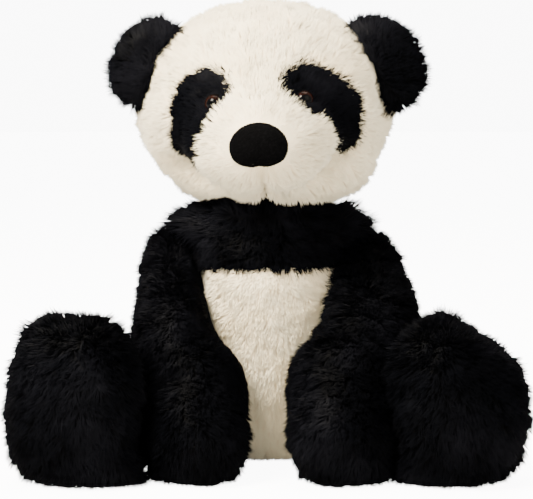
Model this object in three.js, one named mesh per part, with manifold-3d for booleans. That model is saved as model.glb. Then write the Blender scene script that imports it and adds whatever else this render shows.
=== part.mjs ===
// A sitting plush panda, about 270 mm tall: sewn pile-fabric skins over polyester fibre filling,
// with plastic safety eyes, an embroidered nose and a bag of pellets low in the torso.
// Millimetres, +Z up. The toy faces -Y and its own left side is at +X.
// The origin is on the surface that the toy sits on, under the middle of the seat.
import * as THREE from "three";
import { mergeVertices } from "three/addons/utils/BufferGeometryUtils.js";
import { ConvexGeometry } from "three/addons/geometries/ConvexGeometry.js";
import Module from "manifold-3d";

const wasm = await Module();
wasm.setup();

// ---------------------------------------------------------------- driving dimensions

const SKIN = 2.6; // pile fabric: knitted backing and the packed foot of its pile
const GAP = 0.35; // between pieces that are sewn or pressed together
const PLAY = 1.2; // between pieces that move past each other
const FAR = 400; // longer than the whole toy
const UP = [0, 0, 1];

const HEAD = {
  centre: [-1, 4, 210],
  radii: [74, 62, 59],
  turn: -3, // degrees about Z: the face looks a little to the toy's right
  tilt: -2.5, // degrees about Y: the toy's left ear is a little higher
  seamY: 8, // the seam between the face and the back of the head
};
const MUZZLE = { centre: [0, -44, -21], radii: [45, 44, 30], panel: [41, 25.5], panelBack: -40 };
const BRIDGE = { centre: [0, -44, -1], radii: [19, 24, 20] };
const PATCHES = {
  right: [[-37, 21], [-25, 21.5], [-18.5, 13], [-21, 5.5], [-37, -13], [-41, -26], [-49, -15], [-49.5, 4]],
  left: [
    [14.5, 13.5], [25, 22.5], [36, 21.5], [55, 2.5], [55.5, -10],
    [47.5, -24], [43, -11], [33.5, -6.5], [17, 6],
  ],
};
const EYE = { across: 51, height: 3, radius: 6, shank: 2.2, shankLength: 14, yaw: 17 };
const WASHER = { radius: 7.5, thickness: 1.6, play: 0.25 };
const NOSE = {
  height: -20,
  outline: [[0, 12], [10, 11], [16, 4.5], [15, -4], [8, -11], [0, -11]], // one half, in x and z
  thickness: 2.2,
};
const EAR = {
  root: [65, -14, 21], // middle of the fold line on the toy's left ear
  lean: 30, // degrees from the vertical to the fold line
  yaw: 8, // degrees that the ear's rim is turned forward
  outward: 5, // from the fold line to the middle of the ear
  radii: [25, 8.5, 28],
  skin: 2.2,
  fold: 28, // degrees that the ear folds each way
};
const NECK = { pivot: [0, 5, 149], radius: 33, play: 3.5, opening: 20, thread: 0.65, threadCircle: 21.5 };
const TORSO = {
  middleY: 7,
  depthShare: 0.93, // front-to-back size over side-to-side size
  profile: [[36, 0], [47, 4], [56, 20], [59, 46], [55.5, 80], [51, 104], [44, 126], [31, 143]],
  yokeBottom: 114.5, // the black yoke ends and the white belly begins
  seatTop: 3.2,
  sideSeamY: 4,
};
const SHOULDERS = { right: [-38, 6, 129.5], left: [42, 6, 126.5], radius: 19 };
const ARMS = {
  right: { points: [[-54, 4, 113], [-51, -47, 78], [-37, -93, 24.8]], radii: [19, 26, 26] },
  left: { points: [[60, 4, 111], [61, -46, 79], [41, -95, 26.6]], radii: [19.5, 27, 28] },
};
const LEGS = {
  right: {
    points: [[-45, 3, 23], [-103, -64, 23]],
    foot: [-108, -97, 46],
    footRadii: [36.5, 29, 47],
    yaw: -20,
  },
  left: {
    points: [[45, 3, 23], [104, -64, 23]],
    foot: [108.5, -97, 46],
    footRadii: [37.5, 29, 47],
    yaw: 24,
  },
};
const LEG_RADIUS = 21.5;
const FOOT_PITCH = 9; // degrees that the soles lean back
const SOLE_DEPTH = 15; // from the middle of the foot to the seam round the sole
const LIMB_OPENING = 13; // radius of the sewn hole between a limb and the torso
const ARM_RAISE = 60; // degrees that the arms swing up
const LEG_DROP = 85; // degrees that the legs swing down
const TAIL = { centre: [0, 66, 44], radii: [15, 13, 14] };
const PELLET_BAG = { centre: [0, 31, 14], radii: [24, 15, 14] };
const LABEL = { centre: [0, 66, 92], width: 14, length: 24, thickness: 0.7 };
const SIDES = { left: 1, right: -1 };

const MATERIALS = {
  whitePile: new THREE.MeshStandardMaterial({ color: 0xece4d6, roughness: 0.95 }),
  blackPile: new THREE.MeshStandardMaterial({ color: 0x0c0b0d, roughness: 0.9 }),
  fibre: new THREE.MeshStandardMaterial({ color: 0xf4f4f2, roughness: 1 }),
  thread: new THREE.MeshStandardMaterial({ color: 0x0a0a0b, roughness: 0.6 }),
  eye: new THREE.MeshStandardMaterial({ color: 0x2a1208, roughness: 0.08 }),
  washer: new THREE.MeshStandardMaterial({ color: 0xd8d8d4, roughness: 0.4 }),
  muslin: new THREE.MeshStandardMaterial({ color: 0xd9cfb8, roughness: 0.9 }),
  satin: new THREE.MeshStandardMaterial({ color: 0xf2f2f0, roughness: 0.35 }),
};

// ---------------------------------------------------------------- solids

/** A closed three.js geometry as a manifold solid. */
function solid(geometry) {
  const loose = geometry.index ? geometry.toNonIndexed() : geometry.clone();
  loose.deleteAttribute("normal");
  loose.deleteAttribute("uv");
  const merged = mergeVertices(loose, 1e-4);
  return new wasm.Manifold(
    new wasm.Mesh({
      numProp: 3,
      vertProperties: merged.attributes.position.array,
      triVerts: new Uint32Array(merged.index.array),
    }),
  );
}

/** A manifold solid as a three.js geometry. */
function geometryOf(made) {
  const mesh = made.getMesh();
  const positions = new Float32Array(mesh.numVert * 3);
  for (let i = 0; i < mesh.numVert; i++) {
    positions.set(mesh.vertProperties.subarray(i * mesh.numProp, i * mesh.numProp + 3), i * 3);
  }
  const geometry = new THREE.BufferGeometry();
  geometry.setAttribute("position", new THREE.BufferAttribute(positions, 3));
  geometry.setIndex(new THREE.BufferAttribute(mesh.triVerts, 1));
  return geometry;
}

const vector = (point) => new THREE.Vector3(...point);
const radians = THREE.MathUtils.degToRad;
const join = (solids) => solids.reduce((whole, next) => whole.add(next));
const grown = (radii, amount) => radii.map((radius) => radius + amount);

/** An ellipsoid with its poles along Z. */
function ellipsoidGeometry(centre, radii, around = 16, down = 10) {
  const geometry = new THREE.SphereGeometry(1, around, down).rotateX(Math.PI / 2);
  return geometry.scale(...radii).translate(...centre);
}

const ellipsoid = (...size) => solid(ellipsoidGeometry(...size));
const ball = (centre, radius, around, down) => ellipsoid(centre, [radius, radius, radius], around, down);

/** A geometry made along +Y, moved so that its origin is at start and +Y points at end. */
function pointed(geometry, start, end) {
  const direction = vector(end).sub(vector(start)).normalize();
  const turn = new THREE.Quaternion().setFromUnitVectors(new THREE.Vector3(0, 1, 0), direction);
  return geometry.applyQuaternion(turn).translate(...start);
}

/** Two balls and the cone that touches both, with a number of steps from each pole to its widest ring. */
function taperGeometry(start, startRadius, end, endRadius, around = 10, steps = 3) {
  const length = vector(start).distanceTo(vector(end));
  const slope = Math.asin((startRadius - endRadius) / length);
  const profile = [];
  for (let i = 0; i <= steps; i++) {
    const angle = -Math.PI / 2 + (i / steps) * (Math.PI / 2 + slope);
    const x = i ? startRadius * Math.cos(angle) : 0;
    profile.push(new THREE.Vector2(x, startRadius * Math.sin(angle)));
  }
  for (let i = 0; i <= steps; i++) {
    const angle = slope + (i / steps) * (Math.PI / 2 - slope);
    const x = i < steps ? endRadius * Math.cos(angle) : 0;
    profile.push(new THREE.Vector2(x, length + endRadius * Math.sin(angle)));
  }
  return pointed(new THREE.LatheGeometry(profile, around), start, end);
}

const taper = (...ends) => solid(taperGeometry(...ends));

/** A round bar from one point to another. */
function rod(start, end, radius, around = 10) {
  const length = vector(start).distanceTo(vector(end));
  const geometry = new THREE.CylinderGeometry(radius, radius, length, around).translate(0, length / 2, 0);
  return solid(pointed(geometry, start, end));
}

/** Everything on the side of a plane that its normal points to, starting offset beyond the plane. */
function halfSpace(point, normal, offset = 0) {
  const unit = vector(normal).normalize();
  const start = vector(point).addScaledVector(unit, offset);
  const box = new THREE.BoxGeometry(FAR, FAR, FAR).translate(0, FAR / 2, 0);
  return solid(pointed(box, start.toArray(), start.clone().add(unit).toArray()));
}

/** A solid's two sides of a plane, with the sewing gap between them: [behind, ahead]. */
function parted(whole, point, normal) {
  const back = vector(normal).negate().toArray();
  return [
    whole.intersect(halfSpace(point, back, GAP / 2)),
    whole.intersect(halfSpace(point, normal, GAP / 2)),
  ];
}

/** A geometry turned about an axis through a pivot, by degrees. */
function turned(geometry, pivot, axis, angle) {
  const turn = new THREE.Quaternion().setFromAxisAngle(vector(axis), radians(angle));
  const [x, y, z] = pivot;
  return geometry.clone().translate(-x, -y, -z).applyQuaternion(turn).translate(x, y, z);
}

/** One convex solid round a geometry where it is and where it is once turned about an axis. */
function reachOf(geometry, pivot, axis, angle) {
  const found = new Map();
  for (const placed of [geometry, turned(geometry, pivot, axis, angle)]) {
    const positions = placed.getAttribute("position");
    for (let i = 0; i < positions.count; i++) {
      const point = new THREE.Vector3().fromBufferAttribute(positions, i);
      found.set(point.toArray().map((value) => value.toFixed(2)).join(), point);
    }
  }
  return solid(new ConvexGeometry([...found.values()]));
}

/** A smooth closed outline in x and z, grown all round, as a bar that runs forwards from y = start. */
function forwardBar(outline, start, growth = 0) {
  const points = outline.map(([x, z]) => new THREE.Vector2(x, z));
  const curve = new THREE.SplineCurve([...points, points[0]]);
  const smooth = curve.getPoints(Math.max(points.length * 1.5, 16)).slice(0, -1);
  if (THREE.ShapeUtils.area(smooth) < 0) smooth.reverse();
  const outer = smooth.map((point, i) => {
    const along = smooth[(i + 1) % smooth.length].clone().sub(smooth.at(i - 1)).normalize();
    return new THREE.Vector2(point.x + along.y * growth, point.y - along.x * growth);
  });
  const geometry = new THREE.ExtrudeGeometry(new THREE.Shape(outer), { depth: FAR / 2, bevelEnabled: false });
  return solid(geometry.rotateX(Math.PI / 2).translate(0, start, 0));
}

// ---------------------------------------------------------------- the toy and its meshes

const panda = new THREE.Group();
const head = new THREE.Group();
head.position.set(...HEAD.centre);
head.rotation.set(0, radians(HEAD.tilt), radians(HEAD.turn), "ZYX");
head.updateMatrixWorld(true);
panda.add(head);

/** Adds a solid to a group as a named mesh. */
function add(group, name, made, material) {
  const mesh = new THREE.Mesh(geometryOf(made), material);
  mesh.name = name;
  group.add(mesh);
}

// ---------------------------------------------------------------- torso

const ARM_AXIS = [-1, 0, 0];
const LEG_AXIS = [1, 0, 0];
const TORSO_TOP = TORSO.profile.at(-1)[1] + 2;
const FACETS = 1.5; // a cutter with few sides is this much larger, so that its flats still clear

/** The room that one arm needs in the torso, from its rest to fully raised. */
function armRoom({ points, radii }, margin) {
  const [shoulder, elbow] = grown(radii, margin + FACETS);
  const upper = taperGeometry(points[0], shoulder, points[1], elbow, 8, 2);
  return reachOf(upper, points[0], ARM_AXIS, ARM_RAISE);
}

/** The room that one leg needs in the torso, from sitting to hanging. */
function legRoom({ points: [hip, ankle] }, margin) {
  const radius = LEG_RADIUS + margin + FACETS;
  return reachOf(taperGeometry(hip, radius, ankle, radius, 8, 2), hip, LEG_AXIS, LEG_DROP);
}

/** The torso's outer form, shrunk all over by inset, without its limbs' room. */
function torsoBody(inset) {
  const profile = TORSO.profile.map(([radius, z]) => new THREE.Vector2(radius - inset, Math.max(z, inset)));
  const ends = [new THREE.Vector2(0, inset), new THREE.Vector2(0, TORSO_TOP)];
  const lathe = new THREE.LatheGeometry([ends[0], ...profile, ends[1]], 14);
  lathe.rotateX(Math.PI / 2).scale(1, TORSO.depthShare, 1).translate(0, TORSO.middleY, 0);
  const radius = SHOULDERS.radius - inset;
  const shoulders = taper(SHOULDERS.right, radius, SHOULDERS.left, radius, 8, 2);
  return join([solid(lathe), shoulders, ball(NECK.pivot, NECK.radius - inset, 10, 8)]);
}

/** The torso's outer form, shrunk all over by inset, with the limbs' sockets cut into it. */
function torsoForm(inset) {
  const arms = Object.values(ARMS).map((arm) => armRoom(arm, PLAY + inset));
  const legs = Object.values(LEGS).map((leg) => legRoom(leg, PLAY + inset));
  return torsoBody(inset).subtract(join([...arms, ...legs]));
}

/** The hole through both skins where a limb is sewn to the torso. */
const limbHole = ([x, y, z]) => rod([0, y, z], [x, y, z], LIMB_OPENING);

/** The hole through both skins where the head is sewn to the torso. */
function neckHole() {
  const [x, y, z] = NECK.pivot;
  return rod([x, y, z], [x, y, z + NECK.radius + 10], NECK.opening, 12);
}

const limbs = [...Object.values(ARMS), ...Object.values(LEGS)];
const torsoHoles = join([neckHole(), ...limbs.map(({ points }) => limbHole(points[0]))]);
const torsoSkin = torsoForm(0).subtract(torsoForm(SKIN)).subtract(torsoHoles);
const [belowYoke, yoke] = parted(torsoSkin, [0, 0, TORSO.yokeBottom], UP);
const [seat, sides] = parted(belowYoke, [0, 0, TORSO.seatTop], UP);
const [belly, back] = parted(sides, [0, TORSO.sideSeamY, 0], [0, 1, 0]);
const [backRight, backLeft] = parted(back, [0, 0, 0], [1, 0, 0]);
const wholeBag = ellipsoid(PELLET_BAG.centre, PELLET_BAG.radii, 12, 6);
const bag = wholeBag.intersect(halfSpace([0, 0, SKIN + GAP], UP));
const bagPocket = ellipsoid(PELLET_BAG.centre, grown(PELLET_BAG.radii, GAP * 1.5), 12, 6);
const besideTorso = torsoBody(-GAP);
const tail = ellipsoid(TAIL.centre, TAIL.radii, 12, 7).subtract(besideTorso);
const labelBox = new THREE.BoxGeometry(LABEL.thickness, LABEL.length, LABEL.width).translate(...LABEL.centre);

add(panda, "yoke_skin", yoke, MATERIALS.blackPile);
add(panda, "belly_skin", belly, MATERIALS.whitePile);
add(panda, "back_skin_left", backLeft, MATERIALS.whitePile);
add(panda, "back_skin_right", backRight, MATERIALS.whitePile);
add(panda, "seat_skin", seat, MATERIALS.whitePile);
add(panda, "torso_filling", torsoForm(SKIN + GAP).subtract(bagPocket), MATERIALS.fibre);
add(panda, "pellet_bag", bag, MATERIALS.muslin);
add(panda, "tail", tail, MATERIALS.whitePile);
add(panda, "care_label", solid(labelBox).subtract(besideTorso), MATERIALS.satin);

// ---------------------------------------------------------------- arms and legs

/** An arm's outer form, shrunk all over by inset. */
function armForm({ points, radii }, inset) {
  const [shoulder, elbow, hand] = grown(radii, -inset);
  const upper = taper(points[0], shoulder, points[1], elbow);
  const lower = taper(points[1], elbow, points[2], hand);
  return upper.add(lower).intersect(halfSpace([0, 0, inset], UP));
}

/** A leg's and its foot's outer form, shrunk all over by inset. */
function legForm({ points: [hip, ankle], foot, footRadii, yaw }, inset) {
  const radius = LEG_RADIUS - inset;
  const geometry = ellipsoidGeometry([0, 0, 0], grown(footRadii, -inset), 12, 8);
  geometry.rotateX(radians(-FOOT_PITCH)).rotateZ(radians(yaw)).translate(...foot);
  const whole = taper(hip, radius, ankle, radius).add(solid(geometry));
  return whole.intersect(halfSpace([0, 0, inset], UP));
}

for (const side of Object.keys(SIDES)) {
  const arm = ARMS[side];
  const armSkin = armForm(arm, 0).subtract(armForm(arm, SKIN)).subtract(limbHole(arm.points[0]));
  add(panda, `arm_skin_${side}`, armSkin, MATERIALS.blackPile);
  add(panda, `arm_filling_${side}`, armForm(arm, SKIN + GAP), MATERIALS.fibre);

  const leg = LEGS[side];
  const legSkin = legForm(leg, 0).subtract(legForm(leg, SKIN)).subtract(limbHole(leg.points[0]));
  const footTurn = new THREE.Euler(radians(-FOOT_PITCH), 0, radians(leg.yaw), "ZYX");
  const forward = new THREE.Vector3(0, -1, 0).applyEuler(footTurn);
  const seam = vector(leg.foot).addScaledVector(forward, SOLE_DEPTH).toArray();
  const [upper, sole] = parted(legSkin, seam, forward.toArray());
  add(panda, `leg_skin_${side}`, upper, MATERIALS.blackPile);
  add(panda, `foot_sole_${side}`, sole, MATERIALS.blackPile);
  add(panda, `leg_filling_${side}`, legForm(leg, SKIN + GAP), MATERIALS.fibre);
}

// ---------------------------------------------------------------- neck

const [neckX, neckY, neckZ] = NECK.pivot;
const threadDistance = NECK.radius + NECK.play / 2;
const threadHeight = Math.sqrt(threadDistance ** 2 - NECK.threadCircle ** 2);
const threadRing = new THREE.TorusGeometry(NECK.threadCircle, NECK.thread, 4, 20);
threadRing.translate(neckX, neckY, neckZ + threadHeight);
add(panda, "neck_stitching", solid(threadRing), MATERIALS.thread);

const pivotInHead = head.worldToLocal(vector(NECK.pivot)).toArray();
const upInHead = vector(UP).applyQuaternion(head.quaternion.clone().invert());
const neckTop = vector(pivotInHead).addScaledVector(upInHead, NECK.radius + 10).toArray();
const neckHoleInHead = rod(pivotInHead, neckTop, NECK.opening, 12);

// ---------------------------------------------------------------- head, in its own frame

const FRONT = -20; // y where the bars that cut the face begin

/** The head's outer form, shrunk all over by inset, with the neck's socket. */
function headForm(inset) {
  const skull = ellipsoid([0, 0, 0], grown(HEAD.radii, -inset), 18, 10);
  const muzzle = ellipsoid(MUZZLE.centre, grown(MUZZLE.radii, -inset), 12, 8);
  const bridge = ellipsoid(BRIDGE.centre, grown(BRIDGE.radii, -inset), 8, 5);
  const socket = ball(pivotInHead, NECK.radius + NECK.play + inset, 12, 8);
  return join([skull, muzzle, bridge]).subtract(socket);
}

/** The outline of the muzzle's own panel, as points on an ellipse. */
const muzzleOutline = Array.from({ length: 10 }, (_, i) => {
  const angle = (i / 10) * Math.PI * 2;
  const [halfWidth, halfHeight] = MUZZLE.panel;
  return [halfWidth * Math.cos(angle), MUZZLE.centre[2] + halfHeight * Math.sin(angle)];
});

const headSkin = headForm(0).subtract(headForm(SKIN)).subtract(neckHoleInHead);
const [wholeFace, headBack] = parted(headSkin, [0, HEAD.seamY, 0], [0, 1, 0]);
const muzzleRoom = forwardBar(muzzleOutline, MUZZLE.panelBack, GAP);
let face = wholeFace.subtract(muzzleRoom);
let headFilling = headForm(SKIN + GAP);

for (const [side, sign] of Object.entries(SIDES)) {
  const x = (sign * EYE.across) / 2;
  const [a, b, c] = HEAD.radii;
  const surface = [x, -b * Math.sqrt(1 - (x / a) ** 2 - (EYE.height / c) ** 2), EYE.height];
  const outward = new THREE.Vector3(0, -1, 0).applyAxisAngle(vector(UP), radians(sign * EYE.yaw));
  const along = (distance) => vector(surface).addScaledVector(outward, distance).toArray();
  const shankEnd = -EYE.shankLength;
  const dome = ball(surface, EYE.radius, 12, 8).subtract(headForm(-GAP));
  const shank = rod(along(shankEnd), along(EYE.radius * 0.7), EYE.shank);
  const bore = rod(along(shankEnd - GAP), along(EYE.radius), EYE.shank + WASHER.play);
  const washerFront = -SKIN - GAP - 2.2; // the washer is flat and the skin in front of it is curved
  const disc = (growth) => {
    const back = along(washerFront - WASHER.thickness - growth);
    return rod(back, along(washerFront + growth), WASHER.radius + growth, 12);
  };
  const patch = wholeFace.intersect(forwardBar(PATCHES[side], FRONT)).subtract(muzzleRoom);
  add(head, `eye_patch_${side}`, patch.subtract(bore), MATERIALS.blackPile);
  add(head, `eye_${side}`, dome.add(shank), MATERIALS.eye);
  add(head, `eye_washer_${side}`, disc(0).subtract(bore), MATERIALS.washer);
  face = face.subtract(forwardBar(PATCHES[side], FRONT, GAP)).subtract(bore);
  headFilling = headFilling.subtract(disc(GAP)).subtract(bore);
}

const halfNose = NOSE.outline.map(([x, z]) => [x, z + NOSE.height]);
const otherHalf = halfNose.slice(1, -1).reverse().map(([x, z]) => [-x, z]);
const noseBar = forwardBar([...halfNose, ...otherHalf], FRONT * 3);
const nosePad = headForm(-GAP - NOSE.thickness).subtract(headForm(-GAP)).intersect(noseBar);

const muzzle = wholeFace.intersect(forwardBar(muzzleOutline, MUZZLE.panelBack));

add(head, "face_skin", face, MATERIALS.whitePile);
add(head, "muzzle_skin", muzzle, MATERIALS.whitePile);
add(head, "head_back_skin", headBack, MATERIALS.whitePile);
add(head, "nose", nosePad, MATERIALS.thread);
add(head, "head_filling", headFilling, MATERIALS.fibre);

// ---------------------------------------------------------------- ears, in the head's frame

for (const [side, sign] of Object.entries(SIDES)) {
  const root = [sign * EAR.root[0], EAR.root[1], EAR.root[2]];
  const earTurn = new THREE.Euler(0, radians(-sign * EAR.lean), radians(-sign * EAR.yaw), "YXZ");
  const foldAxis = vector(UP).applyEuler(earTurn).toArray();
  const forward = new THREE.Vector3(0, -1, 0).applyEuler(earTurn).toArray();
  const form = (inset) => {
    const geometry = ellipsoidGeometry([sign * EAR.outward, 0, 0], grown(EAR.radii, -inset), 12, 8);
    return solid(geometry.applyQuaternion(new THREE.Quaternion().setFromEuler(earTurn)).translate(...root));
  };
  const skull = ellipsoidGeometry([0, 0, 0], grown(HEAD.radii, PLAY), 18, 10);
  const folds = [-EAR.fold, 0, EAR.fold];
  const besideEar = join(folds.map((angle) => solid(turned(skull, root, foldAxis, angle))));
  const skin = form(0).subtract(form(EAR.skin)).subtract(besideEar);
  const [earBack, earFront] = parted(skin, root, forward);
  add(head, `ear_front_${side}`, earFront, MATERIALS.blackPile);
  add(head, `ear_back_${side}`, earBack, MATERIALS.blackPile);
  add(head, `ear_filling_${side}`, form(EAR.skin + GAP).subtract(besideEar), MATERIALS.fibre);
}

export default panda;
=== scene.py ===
"""A seated plush panda: long pile fabric over fibre filling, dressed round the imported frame.

Shapes are worked out in millimetres, in the toy's own frame: +Z up, the toy faces -Y and its own left side is
at +X. A finished mesh is scaled to metres as its last step.
"""

import logging
import math
from dataclasses import dataclass, field
from enum import Enum
from typing import Callable, Sequence

import bmesh
import bpy
import numpy as np
from mathutils import Euler, Matrix, Vector


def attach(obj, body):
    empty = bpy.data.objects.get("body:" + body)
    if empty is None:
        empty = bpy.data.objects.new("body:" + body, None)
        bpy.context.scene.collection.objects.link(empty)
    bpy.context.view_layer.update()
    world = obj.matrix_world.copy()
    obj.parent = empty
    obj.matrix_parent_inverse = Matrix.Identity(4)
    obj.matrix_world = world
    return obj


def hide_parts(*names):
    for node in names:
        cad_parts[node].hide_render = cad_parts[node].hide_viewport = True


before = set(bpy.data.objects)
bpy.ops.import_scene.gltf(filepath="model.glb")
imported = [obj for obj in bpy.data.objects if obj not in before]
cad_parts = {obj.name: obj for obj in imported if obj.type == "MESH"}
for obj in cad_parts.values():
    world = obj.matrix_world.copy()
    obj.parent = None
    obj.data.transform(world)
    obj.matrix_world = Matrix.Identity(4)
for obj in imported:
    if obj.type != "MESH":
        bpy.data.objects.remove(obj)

log = logging.getLogger("plush_panda")

MM = 0.001
Point = tuple[float, float, float]
Colour = tuple[float, float, float]
Field = Callable[[np.ndarray, np.ndarray], np.ndarray]
ALL_AXES = {"use_axis_x": True, "use_axis_y": True, "use_axis_z": True}


class Side(Enum):
    """The toy's own two sides."""

    LEFT = "left"
    RIGHT = "right"

    @property
    def sign(self) -> int:
        """The sign of X on this side."""
        return 1 if self is Side.LEFT else -1


class Slot(Enum):
    """The material slots of the toy's record."""

    WHITE = "white_pile"
    BLACK = "black_pile"
    FIBRE = "fibre_filling"
    EYE = "eye_plastic"
    NOSE = "nose_thread"
    WASHER = "washer_plastic"
    MUSLIN = "muslin"
    THREAD = "sewing_thread"
    SATIN = "label_satin"


# ---------------------------------------------------------------- numbers


def unit(vectors: np.ndarray) -> np.ndarray:
    """Rows of vectors, each made one long."""
    lengths = np.linalg.norm(vectors, axis=1, keepdims=True)
    return vectors / np.maximum(lengths, 1e-9)


def along_skin(vectors: np.ndarray, normals: np.ndarray) -> np.ndarray:
    """The part of each vector that lies along the skin, made one long."""
    return unit(vectors - (vectors * normals).sum(1, keepdims=True) * normals)


def ramp(values: np.ndarray, low: float, high: float) -> np.ndarray:
    """0 at or below low, 1 at or above high, and a smooth step between."""
    share = np.clip((values - low) / (high - low), 0.0, 1.0)
    return share * share * (3.0 - 2.0 * share)


def hashed(cells: np.ndarray, seed: int) -> np.ndarray:
    """Four repeatable random numbers from 0 to 1 for each integer cell.

    Args:
        cells: whole numbers, one row of three for each cell.
        seed: a different whole number gives different random numbers.

    Returns:
        One row of four numbers for each cell.
    """
    key = cells.astype(np.int64).astype(np.uint32)
    mixed = key[:, 0] * np.uint32(73856093) ^ key[:, 1] * np.uint32(19349663)
    mixed = mixed ^ key[:, 2] * np.uint32(83492791) ^ np.uint32(seed * 2654435761 % 2**32)
    found = []
    for _ in range(4):
        mixed = (mixed ^ (mixed >> np.uint32(15))) * np.uint32(2246822519)
        mixed = (mixed ^ (mixed >> np.uint32(13))) * np.uint32(3266489917)
        mixed = mixed ^ (mixed >> np.uint32(16))
        found.append(mixed.astype(np.float64) / 2**32)
    return np.stack(found, axis=1)


def tufts(points: np.ndarray, size: float, seed: int) -> tuple[np.ndarray, np.ndarray]:
    """The middle of the tuft that each point belongs to, and that tuft's own random numbers.

    Args:
        points: places on the skin.
        size: the usual distance between tufts.
        seed: sets where the tufts fall.

    Returns:
        The middles, and four random numbers for each.
    """
    home = np.floor(points / size)
    nearest = np.full(len(points), np.inf)
    middles = np.zeros_like(points)
    luck = np.zeros((len(points), 4))
    for dx in (-1, 0, 1):
        for dy in (-1, 0, 1):
            for dz in (-1, 0, 1):
                cell = home + (dx, dy, dz)
                numbers = hashed(cell, seed)
                middle = (cell + numbers[:, :3]) * size
                distance = ((middle - points) ** 2).sum(1)
                closer = distance < nearest
                nearest[closer] = distance[closer]
                middles[closer] = middle[closer]
                luck[closer] = numbers[closer]
    return middles, hashed(np.floor(middles / size * 8), seed + 1)


def waves(points: np.ndarray, size: float, seed: int) -> np.ndarray:
    """A smooth random value from about -1 to 1 at each point, that changes over about size.

    Args:
        points: places, one row each.
        size: the distance over which the value changes.
        seed: sets the directions of the waves.

    Returns:
        One value for each point.
    """
    rng = np.random.default_rng(seed)
    total = np.zeros(len(points))
    for _ in range(7):
        direction = rng.normal(size=3)
        direction *= rng.uniform(0.6, 1.4) / np.linalg.norm(direction)
        total += np.sin(points @ direction * 2.0 * math.pi / size + rng.uniform(0, 2 * math.pi))
    return total / 3.2


# ---------------------------------------------------------------- forms


@dataclass(frozen=True)
class Ball:
    """A ball or an ellipsoid, turned by degrees about X, then Y, then Z."""

    centre: Point
    radii: Point
    turn: Point = (0.0, 0.0, 0.0)
    squareness: float = 2.0

    def add_to(self, mesh: bmesh.types.BMesh, inset: float) -> None:
        """Adds the ball to a mesh, shrunk by inset. A squareness over 2 fills its corners out.

        Args:
            mesh: the mesh that gets the ball.
            inset: how much the ball is shrunk by.
        """
        turn = Euler([math.radians(angle) for angle in self.turn]).to_matrix().to_4x4()
        size = Matrix.Diagonal([radius - inset for radius in self.radii] + [1.0])
        place = Matrix.Translation(self.centre) @ turn @ size
        for vert in bmesh.ops.create_icosphere(mesh, subdivisions=5, radius=1.0)["verts"]:
            fullness = sum(abs(value) ** self.squareness for value in vert.co) ** (-1 / self.squareness)
            vert.co = place @ (vert.co * fullness)


@dataclass(frozen=True)
class Taper:
    """Two balls and the cone between them."""

    start: Point
    start_radius: float
    end: Point
    end_radius: float

    def add_to(self, mesh: bmesh.types.BMesh, inset: float) -> None:
        """Adds the taper to a mesh, shrunk by inset.

        Args:
            mesh: the mesh that gets the taper.
            inset: how much the taper is shrunk by.
        """
        start, end = Vector(self.start), Vector(self.end)
        turn = (end - start).to_track_quat("Z", "Y").to_matrix().to_4x4()
        radii = (self.start_radius - inset, self.end_radius - inset)
        bmesh.ops.create_cone(
            mesh, cap_ends=True, segments=48, radius1=radii[0], radius2=radii[1],
            depth=(end - start).length, matrix=Matrix.Translation((start + end) / 2) @ turn,
        )
        for centre, radius in zip((start, end), radii):
            Ball(tuple(centre), (radius, radius, radius)).add_to(mesh, 0.0)

    def turned(self, pivot: Point, axis: Point, degrees: float) -> "Taper":
        """The taper, turned about an axis through a pivot.

        Args:
            pivot: a point on the axis.
            axis: the way the axis points.
            degrees: the angle.

        Returns:
            The turned taper.
        """
        turn = Matrix.Rotation(math.radians(degrees), 3, Vector(axis))
        centre = Vector(pivot)
        start, end = (tuple(turn @ (Vector(p) - centre) + centre) for p in (self.start, self.end))
        return Taper(start, self.start_radius, end, self.end_radius)

    def depth(self, points: np.ndarray, margin: float) -> np.ndarray:
        """How far each point is inside the taper grown by margin; negative outside.

        Args:
            points: places, one row each.
            margin: how much the taper is grown by.

        Returns:
            One depth for each point.
        """
        start, along = np.array(self.start), np.array(self.end) - np.array(self.start)
        share = np.clip((points - start) @ along / (along @ along), 0.0, 1.0)
        radius = self.start_radius + (self.end_radius - self.start_radius) * share + margin
        return radius - np.linalg.norm(points - start - share[:, None] * along, axis=1)


Form = Ball | Taper


def sagged(places: np.ndarray, centre: Point, low: float, high: float) -> np.ndarray:
    """Places spread sideways near the ground, as the end of a limb that rests its weight there.

    Args:
        places: the limb's places.
        centre: the middle of its end.
        low: how far it spreads towards lower x.
        high: how far it spreads towards higher x.

    Returns:
        The places after the spread.
    """
    share = ramp(-places[:, 2], -30.0, -3.0) ** 1.4
    aside = (places[:, 0] - centre[0]) / 18.0
    near = np.exp(-(((places[:, 1] - centre[1]) / 45.0) ** 2))
    moved = places.copy()
    moved[:, 0] += share * near * (high * np.clip(aside, 0, 1) + low * np.clip(aside, -1, 0))
    moved[:, 2] -= 6.0 * near * ramp(-places[:, 2], -34.0, -8.0)
    return moved


def coordinates(mesh: bmesh.types.BMesh) -> np.ndarray:
    """The places of a mesh's vertices, one row each."""
    return np.array([vert.co for vert in mesh.verts])


def vertex_normals(mesh: bmesh.types.BMesh) -> np.ndarray:
    """The normals of a mesh's vertices, one row each."""
    return np.array([vert.normal for vert in mesh.verts])


def move_to(mesh: bmesh.types.BMesh, places: np.ndarray) -> None:
    """Moves a mesh's vertices to these places.

    Args:
        mesh: the mesh, which is changed.
        places: the new place of each vertex, one row each.
    """
    for vert, place in zip(mesh.verts, places):
        vert.co = place
    mesh.normal_update()


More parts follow.
